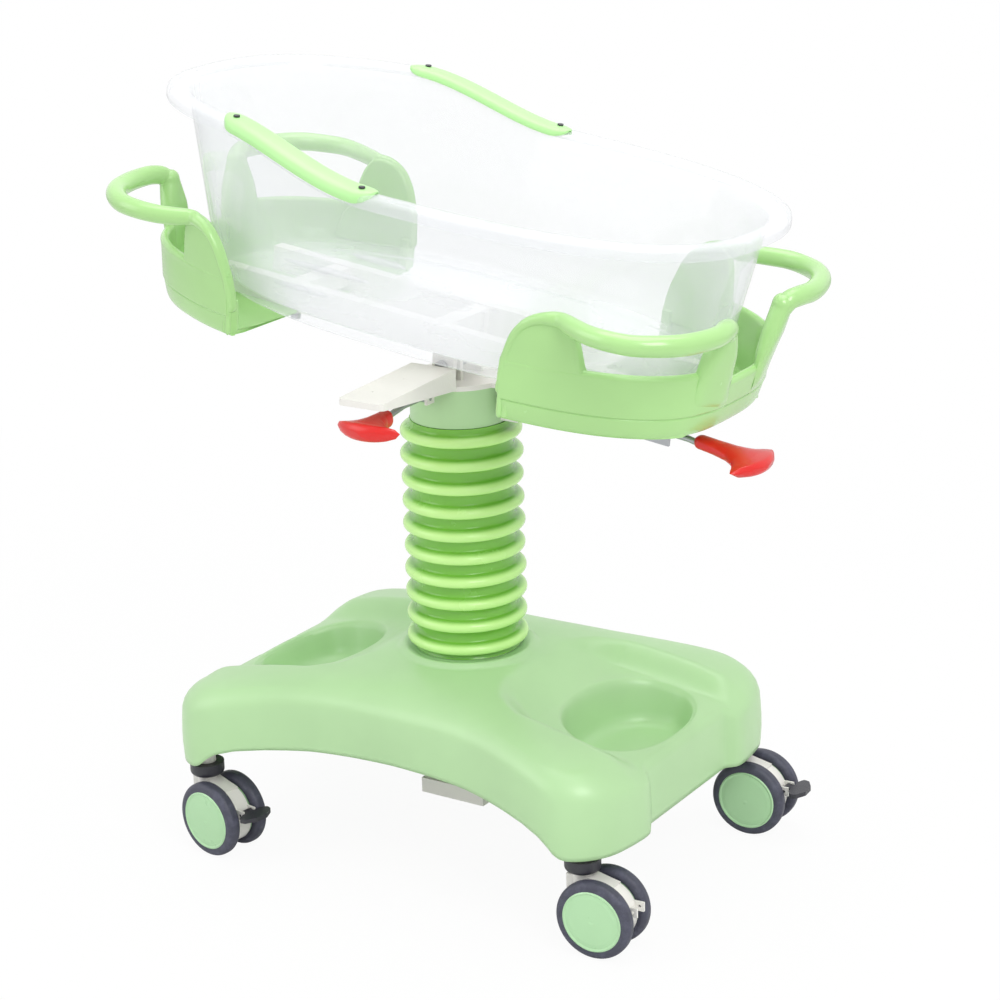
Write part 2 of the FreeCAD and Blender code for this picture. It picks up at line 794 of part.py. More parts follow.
keep(along_spring(feature("tilt_gas_cylinder", tilt_gas_cylinder())), "tilt_gas_cylinder")
keep(along_spring(feature("tilt_gas_rod", tilt_gas_rod())), "tilt_gas_rod")


# ---------------------------------------------------------------- tilting frame
RAIL_BOLT_X = [215, 300]


def rail_bolt_spots():
    middle = size("rail_y") + size("rail_width") / 2
    return [(end * x, side * middle) for end in (-1, 1) for side in (-1, 1) for x in RAIL_BOLT_X]


def tilt_frame():
    """Two tube rails along X, three cross tubes, and hangers that turn on the pivot pin."""
    half = "dims.rail_half_length"
    length = f"2 * {half}"
    low = "dims.rail_bottom"
    width = "dims.rail_width"
    wall = "dims.rail_wall"
    height = "dims.rail_top - dims.rail_bottom"
    solids = []
    hollows = []
    for number, side in enumerate(("-dims.rail_y - dims.rail_width", "dims.rail_y")):
        solids.append(box(f"rail_{number}", f"-{half}", side, low, length, width, height))
        hollows.append(
            box(
                f"rail_hollow_{number}", f"-{half} - 1", f"{side} + {wall}", f"{low} + {wall}",
                f"{length} + 2", f"{width} - 2 * {wall}", f"{height} - 2 * {wall}",
            )
        )
    for number, x in enumerate(("-232", "-12", "208")):
        solids.append(
            box(
                f"cross_tube_{number}", x, "-dims.rail_y - 1", "dims.rail_top - 26",
                "24", "2 * dims.rail_y + 2", "24",
            )
        )
    thickness = "dims.hanger_thickness"
    for number, side in enumerate(("-dims.hanger_y - dims.hanger_thickness", "dims.hanger_y")):
        solids.append(box(f"hanger_{number}", "-16", side, "-13", "32", thickness, "dims.rail_top + 10"))
    frame = cut("frame_open", fuse("frame_body", solids), fuse("frame_hollows", hollows))
    bore = "dims.pivot_pin_radius + dims.running_fit"
    bores = [rod("frame_bore", "0", "-80", "0", bore, "160", Y_AXIS)]
    for number, (x, y) in enumerate(rail_bolt_spots()):
        bores.append(rod(f"frame_bolt_bore_{number}", str(x), str(y), "dims.rail_bottom - 5", "4", "10"))
    return cut("tilt_frame", frame, fuse("frame_bores", bores))


keep(on_tilt(tilt_frame()), "tilt_frame")


def tilt_bracket():
    """Plate under the foot cradle with cheeks for the gas spring's upper pin and the tilt lever."""
    plate = box("bracket_plate", "268", "-30", "dims.cradle_bottom - 4", "56", "60", "4")
    pin = "dims.spring_pin_radius"
    solids = [plate, rod("bracket_pin", "dims.spring_high_x", "-18", "dims.spring_high_z", pin, "36", Y_AXIS)]
    cheek_height = "dims.cradle_bottom + 22"
    for number, side in enumerate(("-18", "14")):
        solids.append(box(f"bracket_cheek_{number}", "274", side, "-24", "42", "4", cheek_height))
    pin = "dims.lever_pin_radius + dims.running_fit"
    bore = rod("bracket_bore", "dims.tilt_lever_x", "-30", "dims.tilt_lever_z", pin, "60", Y_AXIS)
    return cut("tilt_bracket", fuse("bracket_body", solids), bore)


keep(on_tilt(tilt_bracket()), "tilt_bracket")


# ---------------------------------------------------------------- levers
def lever_arm():
    """Folded white bracket from the column head to the front, deep at its root and shallow at its tip."""
    half = size("arm_half_width")
    sheet = size("arm_sheet")
    root = size("arm_root_y")
    tip = size("arm_tip_y")
    top = size("arm_top")
    side = [(0, -root, top), (0, -tip, top - 6), (0, -tip, top - 14), (0, -root, top - 28)]
    body = closed_face(side).extrude(Vector(2 * half, 0, 0))
    body.translate(Vector(-half, 0, 0))
    upright = [edge for edge in body.Edges if abs(edge.Length - 8) < 0.1]
    body = body.makeFillet(7, upright)
    inner_root = -root - sheet
    inner_tip = -tip + sheet
    hollow = closed_face(
        [(0, inner_root, top - sheet), (0, inner_tip, top - 6 - sheet), (0, inner_tip, 0), (0, inner_root, 0)]
    ).extrude(Vector(2 * half - 2 * sheet, 0, 0))
    hollow.translate(Vector(-half + sheet, 0, 0))
    lugs = []
    pivot_y = size("lift_lever_y")
    pivot_z = size("lift_lever_z")
    for start in (-12, 8.2):
        lugs.append(Part.makeBox(3.8, 16, top - pivot_z + 4, Vector(start, -pivot_y - 8, pivot_z - 7)))
    bore = size("lever_pin_radius") + size("running_fit")
    shape = body.cut(hollow).fuse(lugs)
    shape = shape.cut(Part.makeCylinder(bore, 28, Vector(-14, -pivot_y, pivot_z), X_AXIS))
    clear_of_plate = Vector(0, 0, size("head_plate_bottom") - 1)
    return shape.cut(Part.makeCylinder(size("head_plate_radius") + 0.3, 8, clear_of_plate)).removeSplitter()


keep(on_column(feature("lever_arm", lever_arm())), "lever_arm")


def lever(reach, pin_half, bend):
    """A barrel with stub pins at the origin and a round rod along +X, bent down by a few millimetres."""
    barrel = Part.makeCylinder(6, 15.6, Vector(0, -7.8, 0), Y_AXIS)
    pins = Part.makeCylinder(size("lever_pin_radius"), 2 * pin_half, Vector(0, -pin_half, 0), Y_AXIS)
    path = rounded_path([(0, 0, 0), (reach * 0.45, 0, 0), (reach, 0, -bend)], 40)
    return barrel.fuse([pins, tube_along(path, 4)]).removeSplitter()


def grip(length, spread, drop):
    """A moulded grip along +X: a round sleeve that widens to a crescent-shaped crossbar."""
    thick = size("grip_thickness")
    stem = [
        (0, -7), (length * 0.42, -9), (length * 0.66, -16), (length * 0.74, -spread),
        (length * 0.86, -spread * 1.12), (length, -spread * 0.62), (length * 1.02, 0),
    ]
    points = stem + [(x, -y) for x, y in stem[-2::-1]]
    edges = []
    for index in range(len(points)):
        start = points[index]
        end = points[(index + 1) % len(points)]
        edges.append(Part.LineSegment(Vector(*start, -thick / 2), Vector(*end, -thick / 2)).toShape())
    slab = prism(Part.Wire(edges), Vector(0, 0, thick))
    slab = slab.makeFillet(5, slab.Edges)
    slab.rotate(Vector(0, 0, 0), Y_AXIS, math.degrees(math.atan2(drop, length)))
    return slab


LIFT_GRIP_START = 68
LIFT_GRIP_BEND = 6
TILT_GRIP_START = 28
TILT_GRIP_BEND = 3

lift_lever_spot = Placement(
    Vector(size("column_x"), -size("lift_lever_y"), size("lift_lever_z")), Rotation(Z_AXIS, -90)
)
tilt_lever_base = tilted_point(size("tilt_lever_x"), size("tilt_lever_z")) + Vector(size("column_x"), 0, 0)
tilt_lever_spot = Placement(tilt_lever_base, Rotation(Y_AXIS, size("rest_tilt")))


def grip_on_rod(start, bend, length, spread, drop):
    """A grip pushed over the end of its rod, with a socket that the rod fills."""
    body = grip(length, spread, drop)
    body.translate(Vector(start, 0, -bend * 0.75))
    return body


height_rod = feature("height_lever_rod", lever(LIFT_GRIP_START + 24, 11.6, LIFT_GRIP_BEND + 2))
height_rod.Placement = lift_lever_spot
keep(height_rod, "height_lever_rod")
height_rod_bore = height_rod.Shape.transformed(lift_lever_spot.inverse().toMatrix())
height_grip_shape = grip_on_rod(LIFT_GRIP_START, LIFT_GRIP_BEND, 64, 40, 3).cut(height_rod_bore)
height_grip = feature("height_lever_grip", height_grip_shape)
height_grip.Placement = lift_lever_spot
keep(height_grip, "height_lever_grip")

tilt_rod = feature("tilt_lever_rod", lever(TILT_GRIP_START + 30, 17.6, TILT_GRIP_BEND + 1))
tilt_rod.Placement = tilt_lever_spot
keep(tilt_rod, "tilt_lever_rod")
tilt_rod_bore = tilt_rod.Shape.transformed(tilt_lever_spot.inverse().toMatrix())
tilt_grip_shape = grip_on_rod(TILT_GRIP_START, TILT_GRIP_BEND, 108, 60, 8).cut(tilt_rod_bore)
tilt_grip = feature("tilt_lever_grip", tilt_grip_shape)
tilt_grip.Placement = tilt_lever_spot
keep(tilt_grip, "tilt_lever_grip")


# ---------------------------------------------------------------- cradles
def cradle_loop(inset, height):
    half_x = size("cradle_end_x") - inset
    half_y = size("cradle_half_width") - inset
    return smooth_loop(superellipse(half_x, half_y, 3, height))


def end_piece(shape):
    """The part of a full oval that lies past the cradle's open inner edge."""
    inner = size("cradle_inner_x")
    return shape.common(Part.makeBox(300, 600, 400, Vector(inner, -300, -100)))


def cradle_tray():
    """Oval tray: a floor, a leaning wall with a step near its foot and a round bead along its top."""
    bottom = size("cradle_bottom")
    top = size("cradle_wall_top")
    wall = size("cradle_wall")
    foot = Part.makeLoft([cradle_loop(8, bottom), cradle_loop(2, bottom + 11)], True, True)
    side = Part.makeLoft([cradle_loop(0, bottom + 11), cradle_loop(-4, top)], True, True)
    floor_top = bottom + size("cradle_floor")
    inside = Part.makeLoft([cradle_loop(wall + 3, floor_top), cradle_loop(wall - 4, top + 5)], True, True)
    tray = end_piece(foot.fuse(side).cut(inside))
    bead_path = cradle_loop(wall / 2 - 4, top - 1)
    ring = Part.Wire(Part.makeCircle(5, bead_path.Edges[0].valueAt(0), bead_path.Edges[0].tangentAt(0)))
    bead = bead_path.makePipeShell([ring], True, False)
    return tray.fuse(end_piece(bead))


def ear(side):
    """Tall cheek beside the tub, with rounded shoulders, where the handle starts."""
    low = size("cradle_bottom") + 11
    top = size("ear_top")
    inner = size("cradle_inner_x")
    start = size("ear_y")
    face = closed_face(
        [
            (inner - 5, 0, low), (inner - 7, 0, low + 70), (inner + 14, 0, top - 12), (inner + 34, 0, top),
            (inner + 88, 0, top), (inner + 104, 0, top - 14), (inner + 98, 0, low + 60), (inner + 96, 0, low),
        ]
    )
    slab = face.extrude(Vector(0, size("ear_thickness"), 0))
    upright = [edge for edge in slab.Edges if abs(edge.Length - size("ear_thickness")) < 0.01]
    upper = [edge for edge in upright if edge.CenterOfMass.z > low + 30]
    slab = slab.makeFillet(14, upper)
    slab.translate(Vector(0, start, 0))
    return slab if side > 0 else mirrored_y(slab)


def handle(side):
    """Round bar from an ear round the corner to a pillar at the end, and down into the wall."""
    height = size("handle_height")
    path = rounded_path(
        [
            (248, 205, height - 3), (305, 218, height - 2), (358, 219, height - 1), (392, 202, height),
            (414, 163, height), (421, 112, height - 2), (409, 68, height - 8), (390, 62, 98),
        ],
        22,
    )
    bar = tube_along(path, size("handle_radius"))
    pillar_foot = ((360, 32), (391, 32), (388, 88), (360, 88), (360, 32))
    pillar_top = ((399, 50), (418, 48), (420, 80), (402, 82), (399, 50))
    sections = [
        Part.makePolygon([Vector(x, y, z) for x, y in corners])
        for corners, z in ((pillar_foot, 34), (pillar_top, 150))
    ]
    pillar = Part.makeLoft(sections, True, True)
    shape = bar.fuse(pillar)
    return shape if side > 0 else mirrored_y(shape)


def cradle():
    shape = cradle_tray().fuse([ear(1), ear(-1), handle(1), handle(-1)])
    bores = []
    middle = size("rail_y") + size("rail_width") / 2
    for x in RAIL_BOLT_X:
        for side in (-1, 1):
            bores.append(Part.makeCylinder(4, 40, Vector(x, side * middle, 10), Z_AXIS))
    return shape.cut(bores[0].fuse(bores[1:]))


cradle_shape = cradle()
keep(on_tilt(feature("cradle_foot", cradle_shape)), "cradle_foot")
keep(on_tilt(feature("cradle_head", cradle_shape.mirror(Vector(0, 0, 0), X_AXIS))), "cradle_head")

bolt_heads = []
for number, (x, y) in enumerate(rail_bolt_spots()):
    bolt_heads.append(
        fuse(
            f"cradle_bolt_{number}",
            [
                rod(f"bolt_head_{number}", str(x), str(y), "dims.cradle_bottom - 5", "6.5", "5"),
                rod(f"bolt_shank_{number}", str(x), str(y), "dims.cradle_bottom - 1", "4", "18"),
            ],
        )
    )
keep(on_tilt(group("cradle_bolts", bolt_heads)), "cradle_bolts")


# ---------------------------------------------------------------- tub
RIM_POWER = 2.6


def rim_height(x):
    """Height of the rim: level at the head, an S-shaped fall beside the grip strips, level at the foot."""
    start = size("rim_slope_start")
    end = size("rim_slope_end")
    reach = min(max((x - start) / (end - start), 0), 1)
    ease = reach * reach * (3 - 2 * reach)
    return size("rim_head_height") + (size("rim_foot_height") - size("rim_head_height")) * ease


def rim_curve(lower, y):
    """The rim's side view as a wire at one y."""
    stations = [-460, -340, -265, -230, -180, -118, -56, -5, 30, 200, 460]
    curve = Part.BSplineCurve()
    curve.interpolate([Vector(x, y, rim_height(x) - lower) for x in stations])
    return curve.toShape()


def under_rim(lower):
    """Everything below the rim's side view."""
    top = rim_curve(lower, -300)
    corners = [Vector(460, -300, 0), Vector(-460, -300, 0)]
    ends = [Vector(460, -300, rim_height(460) - lower), Vector(-460, -300, rim_height(-460) - lower)]
    edges = [
        top,
        Part.LineSegment(ends[0], corners[0]).toShape(),
        Part.LineSegment(corners[0], corners[1]).toShape(),
        Part.LineSegment(corners[1], ends[1]).toShape(),
    ]
    return prism(Part.Wire(Part.__sortEdges__(edges)), Vector(0, 600, 0))


def tub_plan(head, foot, half_y, power, height):
    """A soft-cornered oval whose foot half and head half differ a little in length."""
    points = []
    for x, y, z in superellipse(1, half_y, power, height):
        points.append((x * (foot if x > 0 else head), y, z))
    return smooth_loop(points)


def rim_plan(out):
    """The rim's plan moved outwards, from 0 at the tub's wall to 1 at the rim's outer edge."""
    along = size("rim_end_width") * out
    across = size("rim_width") * out
    return tub_plan(
        size("tub_top_head") + along, size("tub_top_foot") + along, size("tub_top_half_width") + across,
        RIM_POWER, 0,
    )


def rim_side(x, out):
    """Half width of the rim's plan at x."""
    end = size("tub_top_foot") if x > 0 else size("tub_top_head")
    share = abs(x) / (end + size("rim_end_width") * out)
    across = size("tub_top_half_width") + size("rim_width") * out
    return across * (1 - share**RIM_POWER) ** (1 / RIM_POWER)


def tub_block(inset, bottom):
    """Drafted body of the tub between its rounded bottom and a plane above its rim."""
    low = tub_plan(
        size("tub_bottom_head") - inset, size("tub_bottom_foot") - inset,
        size("tub_bottom_half_width") - inset, 2.5, bottom,
    )
    high = tub_plan(
        size("tub_top_head") - inset, size("tub_top_foot") - inset,
        size("tub_top_half_width") - inset, RIM_POWER, 310,
    )
    return Part.makeLoft([low, high], True, True)


def tub():
    wall = size("tub_wall")
    bottom = size("tub_bottom")
    shell = tub_block(0, bottom).common(under_rim(0))
    plate = prism(rim_plan(1), Vector(0, 0, 320))
    flange = plate.common(under_rim(0)).cut(under_rim(wall))
    lip_inside = prism(rim_plan(1 - wall / size("rim_width")), Vector(0, 0, 320))
    lip = plate.cut(lip_inside).common(under_rim(0)).cut(under_rim(size("rim_lip")))
    inside = tub_block(wall, bottom + wall)
    return shell.fuse([flange, lip]).cut(inside)


keep(on_tilt(feature("tub", tub())), "tub")


def closed_band(first, second):
    """A face between two smooth curves that run the same way."""
    edges = []
    for points in (first, second):
        curve = Part.BSplineCurve()
        curve.interpolate(points)
        edges.append(curve.toShape())
    edges.append(Part.LineSegment(first[0], second[0]).toShape())
    edges.append(Part.LineSegment(first[-1], second[-1]).toShape())
    return Part.Wire(Part.__sortEdges__(edges))


def grip_strip(side):
    """Soft strip on the long side of the rim, following its plan and the S-shaped fall."""
    thick = size("strip_thickness")
    above_rim = 0.8
    stations = [size("strip_start") + size("strip_length") * step / 8 for step in range(9)]
    upper = [Vector(x, 150, rim_height(x) + thick) for x in stations]
    lower = [Vector(x, 150, rim_height(x) + above_rim) for x in stations]
    band = prism(closed_band(lower, upper), Vector(0, 120, 0))
    inner = [Vector(x, rim_side(x, 0.08), 0) for x in stations]
    outer = [Vector(x, rim_side(x, 0.95), 0) for x in stations]
    plan = prism(closed_band(inner, outer), Vector(0, 0, 400))
    corners = [edge for edge in plan.Edges if abs(edge.Length - 400) < 0.1]
    strip = band.common(plan.makeFillet(9, corners))
    return strip if side > 0 else mirrored_y(strip)


keep(on_tilt(feature("grip_strip_back", grip_strip(1))), "grip_strip_back")
keep(on_tilt(feature("grip_strip_front", grip_strip(-1))), "grip_strip_front")


def strip_screws():
    """A screw head standing on each end of both strips."""
    heads = []
    start = size("strip_start")
    for side in (-1, 1):
        for x in (start + 14, start + size("strip_length") - 16):
            height = rim_height(x) + size("strip_thickness")
            heads.append(Part.makeCylinder(4, 1.6, Vector(x, side * rim_side(x, 0.5), height + 0.6), Z_AXIS))
    return Part.makeCompound(heads)


keep(on_tilt(feature("strip_screws", strip_screws())), "strip_screws")


# ---------------------------------------------------------------- castors
CASTORS = {
    # name: stem side along x, along y, heading of the trailing wheels in degrees, pedal
    "head_front": (-1, -1, -9, True),
    "foot_front": (1, -1, 4, False),
    "head_back": (-1, 1, 12, False),
    "foot_back": (1, 1, 4, True),
}


def heading(x, y, turn):
    return Placement(
        Vector(size("column_x") + x * size("castor_x"), y * size("castor_y"), 0), Rotation(Z_AXIS, turn)
    )


def stem_shape():
    """Steel stem under a rounded dust cap."""
    low = size("stem_cap_bottom")
    foot = size("stem_bottom")
    cap = Part.makeCylinder(size("stem_cap_radius"), size("stem_cap_top") - low, Vector(0, 0, low))
    rims = [edge for edge in cap.Edges if edge.CenterOfMass.z < low + 1 and len(edge.Vertexes) == 1]
    cap = cap.makeFillet(6, rims)
    pin = Part.makeCylinder(size("stem_radius"), size("stem_top") - foot, Vector(0, 0, foot))
    return cap.fuse(pin)


def fork_shape():
    """Hood between the two wheels, with a neck for the stem, a bore for the axle and lugs for the pedal."""
    trail = size("castor_trail")
    centre = size("wheel_radius")
    half = size("wheel_gap") / 2 - 2
    pivot_x = size("pedal_pivot_x")
    pivot_z = size("pedal_pivot_z")
    disc = Part.makeCylinder(40, 2 * half, Vector(trail, -half, centre), Y_AXIS)
    neck = Part.makeCylinder(size("neck_radius"), 19, Vector(0, 0, size("stem_cap_bottom") - 19.5))
    profile = [(-17, 96), (-17, 66), (-8, 46), (trail + 14, 60), (trail + 18, 88), (12, 96)]
    bridge = closed_face([(x, -half, z) for x, z in profile]).extrude(Vector(0, 2 * half, 0))
    lugs = []
    for start in (-half, half - 3):
        lugs.append(Part.makeBox(18, 3, 12, Vector(pivot_x - 12, start, pivot_z - 6)))
    body = disc.fuse([neck, bridge] + lugs)
    stem = size("stem_radius") + size("running_fit")
    body = body.cut(Part.makeCylinder(stem, 60, Vector(0, 0, size("stem_bottom") - 1)))
    body = body.cut(Part.makeCylinder(size("axle_radius"), 60, Vector(trail, -30, centre), Y_AXIS))
    pin = 2 + size("running_fit")
    body = body.cut(Part.makeCylinder(pin, 60, Vector(pivot_x, -30, pivot_z), Y_AXIS))
    slot = Part.makeBox(16, 2 * half - 6, 14, Vector(pivot_x - 6.5, 3 - half, pivot_z - 7))
    return body.cut(slot).removeSplitter()


def axle_shape():
    half = size("wheel_gap") / 2 + size("wheel_width") - 5
    return Part.makeCylinder(
        size("axle_radius"), 2 * half, Vector(size("castor_trail"), -half, size("wheel_radius")), Y_AXIS
    )


def wheel_turned(profile, side):
    """Turn a profile of (radius, distance from the castor's middle plane) about the axle."""
    trail = size("castor_trail")
    centre = size("wheel_radius")
    face = closed_face([(trail + radius, side * across, centre) for radius, across in profile])
    return face.revolve(Vector(trail, 0, centre), Y_AXIS, 360)


def tyre_shape(side):
    near = size("wheel_gap") / 2
    far = near + size("wheel_width")
    inner = size("tyre_inner_radius")
    outer = size("wheel_radius")
    solid = wheel_turned([(inner, near + 1), (outer, near + 1), (outer, far), (inner, far)], side)
    rims = [
        edge for edge in solid.Edges
        if len(edge.Vertexes) == 1 and abs(edge.Curve.Radius - outer) < 0.01
    ]
    return solid.makeFillet(7.5, rims)


def hub_shape(side):
    """Wheel centre with a dished outer cap, a raised rim and a blind bore for the axle."""
    near = size("wheel_gap") / 2
    far = near + size("wheel_width")
    inner = size("tyre_inner_radius")
    bore = size("axle_radius") + size("running_fit")
    profile = [
        (bore, near), (inner - 3, near), (inner, near + 2), (inner, far), (inner - 1.5, far + 1.2),
        (inner - 4, far), (inner - 9, far + 0.6), (0, far + 1), (0, far - 4), (bore, far - 4),
    ]
    return wheel_turned(profile, side)


def pedal_shape():
    """Brake pedal: a barrel with stub pins, a neck between the wheels and a wide tread behind them."""
    x = size("pedal_pivot_x")
    z = size("pedal_pivot_z")
    half = size("wheel_gap") / 2 - 5
    barrel = Part.makeCylinder(4.5, 2 * half - 0.6, Vector(x, 0.3 - half, z), Y_AXIS)
    pins = Part.makeCylinder(2, 2 * half + 5, Vector(x, -half - 2.5, z), Y_AXIS)
    neck = Part.makeBox(14, 14, 5, Vector(x, -7, z - 1))
    outline_points = [(9, -15), (14, -25), (22, -23), (30, -9), (30, 9), (22, 23), (14, 25), (9, 15)]
    tread = closed_face([(x + a, b, z - 1) for a, b in outline_points]).extrude(Vector(0, 0, 6))
    upright = [edge for edge in tread.Edges if abs(edge.Length - 6) < 0.01]
    tread = tread.makeFillet(3, upright)
    return barrel.fuse([pins, neck, tread]).removeSplitter()


for castor, (x, y, turn, braked) in CASTORS.items():
    spot = heading(x, y, turn)
    shapes = {
        f"{castor}_castor_stem": stem_shape(),
        f"{castor}_castor_fork": fork_shape(),
        f"{castor}_castor_axle": axle_shape(),
        f"{castor}_tyre_near": tyre_shape(-1),
        f"{castor}_hub_near": hub_shape(-1),
        f"{castor}_tyre_far": tyre_shape(1),
        f"{castor}_hub_far": hub_shape(1),
    }
    if braked:
        shapes[f"{castor}_brake_pedal"] = pedal_shape()
    for label, shape in shapes.items():
        piece = feature(label, shape)
        piece.Placement = spot
        keep(piece, label)


# ---------------------------------------------------------------- check and write
doc.recompute()
failed = [thing.Label for thing in doc.Objects if {"Invalid", "Error"} & set(thing.State)]
if failed:
    raise RuntimeError(f"these objects failed: {failed}")
for piece in pieces:
    if piece.Shape.isNull() or not piece.Shape.isValid() or piece.Shape.Volume < 1:
        raise RuntimeError(f"{piece.Label} has no sound shape")

os.makedirs("parts", exist_ok=True)
for piece in pieces:
    piece.Shape.exportStep(f"parts/{piece.Label}.step")
    bounds = piece.Shape.BoundBox
    print(f"{piece.Label:28s} {len(piece.Shape.Solids):2d} solids {piece.Shape.Volume / 1000:9.1f} cm3  "
          f"z {bounds.ZMin:6.1f} to {bounds.ZMax:6.1f}")
print(len(pieces), "sub-parts")
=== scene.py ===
"""Hospital bassinet: the looks of its pieces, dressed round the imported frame."""

import json
import math

import bmesh
import bpy
import numpy as np
from bpy.props import FloatProperty, FloatVectorProperty, PointerProperty
from mathutils import Matrix, Vector


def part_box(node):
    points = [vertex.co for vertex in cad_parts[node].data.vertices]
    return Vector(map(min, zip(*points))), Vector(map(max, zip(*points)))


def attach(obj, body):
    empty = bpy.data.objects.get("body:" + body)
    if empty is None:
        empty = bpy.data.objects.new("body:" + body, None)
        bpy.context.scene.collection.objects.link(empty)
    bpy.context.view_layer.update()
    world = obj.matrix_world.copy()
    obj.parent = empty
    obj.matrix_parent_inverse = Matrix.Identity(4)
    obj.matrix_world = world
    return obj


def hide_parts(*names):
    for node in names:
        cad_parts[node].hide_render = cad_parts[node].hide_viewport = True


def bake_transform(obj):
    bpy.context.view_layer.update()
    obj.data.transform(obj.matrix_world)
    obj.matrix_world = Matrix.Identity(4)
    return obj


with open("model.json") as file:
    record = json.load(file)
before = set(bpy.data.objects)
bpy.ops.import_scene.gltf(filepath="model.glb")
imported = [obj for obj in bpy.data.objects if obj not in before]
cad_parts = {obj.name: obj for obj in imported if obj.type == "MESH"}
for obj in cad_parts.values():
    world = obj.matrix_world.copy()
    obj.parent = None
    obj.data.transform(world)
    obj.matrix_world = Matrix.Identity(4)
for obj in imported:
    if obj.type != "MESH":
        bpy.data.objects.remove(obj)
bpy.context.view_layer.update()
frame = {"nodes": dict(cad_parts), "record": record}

bl_info = {
    "name": "Hospital Bassinet",
    "version": (1, 0, 0),
    "blender": (4, 5, 0),
    "location": "View3D > Sidebar > Bassinet",
    "description": "Builds the finished surfaces and materials of a hospital bassinet",
    "category": "Add Mesh",
}

COLUMN_X = (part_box("bellows")[0][0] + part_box("bellows")[1][0]) / 2
TILT_PIVOT = np.array([COLUMN_X, 0.0, 0.65])
REST_TILT = math.radians(7.5)
MATERIALS = {}  # by material slot, filled by the finishes operator


# ------------------------------------------------------------------ shader maths
def linear(red, green, blue):
    """A colour written as 0 to 255 screen values, as linear light."""
    screen = np.array([red, green, blue]) / 255
    return tuple(np.where(screen <= 0.04045, screen / 12.92, ((screen + 0.055) / 1.055) ** 2.4))


class Number:
    """A socket that carries a number; arithmetic on it adds Math nodes."""

    def __init__(self, net, socket):
        self.net = net
        self.socket = socket

    def math(self, operation, *values, clamp=False):
        settings = {"operation": operation, "use_clamp": clamp}
        node = self.net.node("ShaderNodeMath", settings, dict(enumerate(values)))
        return Number(self.net, node.outputs[0])

    def __add__(self, other):
        return self.math("ADD", self, other)

    __radd__ = __add__

    def __sub__(self, other):
        return self.math("SUBTRACT", self, other)

    def __rsub__(self, other):
        return self.math("SUBTRACT", other, self)

    def __mul__(self, other):
        return self.math("MULTIPLY", self, other)

    __rmul__ = __mul__

    def __pow__(self, other):
        return self.math("POWER", self, other)

    def clamped(self):
        return self.math("ADD", self, 0.0, clamp=True)

    def between(self, low, high):
        """0 below low, 1 above high, and smooth between them."""
        inputs = {"Value": self, "From Min": low, "From Max": high}
        node = self.net.node("ShaderNodeMapRange", {"interpolation_type": "SMOOTHSTEP"}, inputs)
        return Number(self.net, node.outputs["Result"])


class Net:
    """The node tree of one material, with a Principled surface."""

    def __init__(self, name, colour, **constants):
        self.material = bpy.data.materials.new(name)
        self.material.use_nodes = True
        self.tree = self.material.node_tree
        self.shader = self.tree.nodes["Principled BSDF"]
        self.colour = (*colour, 1.0)
        self.shader.inputs["Base Color"].default_value = self.colour
        self.material.diffuse_color = self.colour
        for socket, value in constants.items():
            self.shader.inputs[socket.replace("_", " ")].default_value = value
        self.place = self.node("ShaderNodeTexCoord").outputs["Object"]

    def node(self, kind, settings=None, inputs=None):
        node = self.tree.nodes.new(kind)
        for name, value in (settings or {}).items():
            setattr(node, name, value)
        for name, value in (inputs or {}).items():
            self.feed(node.inputs[name], value)
        return node

    def feed(self, socket, value):
        if isinstance(value, Number):
            value = value.socket
        if isinstance(value, bpy.types.NodeSocket):
            self.tree.links.new(value, socket)
        else:
            socket.default_value = value

    def noise(self, scale, detail, roughness=0.5, stretch=None):
        """Smooth noise with scale features per metre, from about 0.25 to 0.75."""
        place = self.place
        if stretch:
            place = self.node("ShaderNodeMapping", None, {"Vector": place, "Scale": stretch}).outputs[0]
        inputs = {"Vector": place, "Scale": scale, "Detail": detail, "Roughness": roughness}
        return Number(self, self.node("ShaderNodeTexNoise", None, inputs).outputs["Fac"])

    def facing(self, blend):
        """0 where the surface faces the eye, 1 where it turns away."""
        node = self.node("ShaderNodeLayerWeight", None, {"Blend": blend})
        return Number(self, node.outputs["Facing"])

    def tint(self, factor, one, other):
        """A colour from one to other as factor goes from 0 to 1."""
        node = self.node("ShaderNodeMix", {"data_type": "RGBA"}, {0: factor, 6: one, 7: other})
        return node.outputs[2]

    def shade(self, factor, darker, lighter):
        """The material's own colour, varied between two levels."""
        low = tuple(part * darker for part in self.colour[:3]) + (1.0,)
        high = tuple(min(part * lighter, 1.0) for part in self.colour[:3]) + (1.0,)
        self.feed(self.shader.inputs["Base Color"], self.tint(factor, low, high))

    def rough(self, value):
        self.feed(self.shader.inputs["Roughness"], value)

    def bump(self, height, distance):
        """Relief of a height in 0 to 1, distance metres deep."""
        inputs = {"Height": height, "Distance": distance, "Strength": 1.0}
        self.feed(self.shader.inputs["Normal"], self.node("ShaderNodeBump", None, inputs).outputs[0])


# ------------------------------------------------------------------ materials
def moulded(name, colour, roughness, coat, grain):
    """Injection-moulded plastic: faint flow clouds in colour, mottled gloss and a fine spark-eroded grain."""
    net = Net(name, colour, Coat_Weight=coat, Coat_Roughness=0.12, IOR=1.5)
    clouds = net.noise(6, 3)
    net.shade(clouds.between(0.3, 0.7), 0.955, 1.03)
    mottle = net.noise(45, 4, 0.6)
    net.rough(roughness + (mottle - 0.5) * 0.16)
    net.bump(net.noise(1400, 3, 0.6) * grain + net.noise(18, 2) * 0.6, 0.0004)
    return net.material


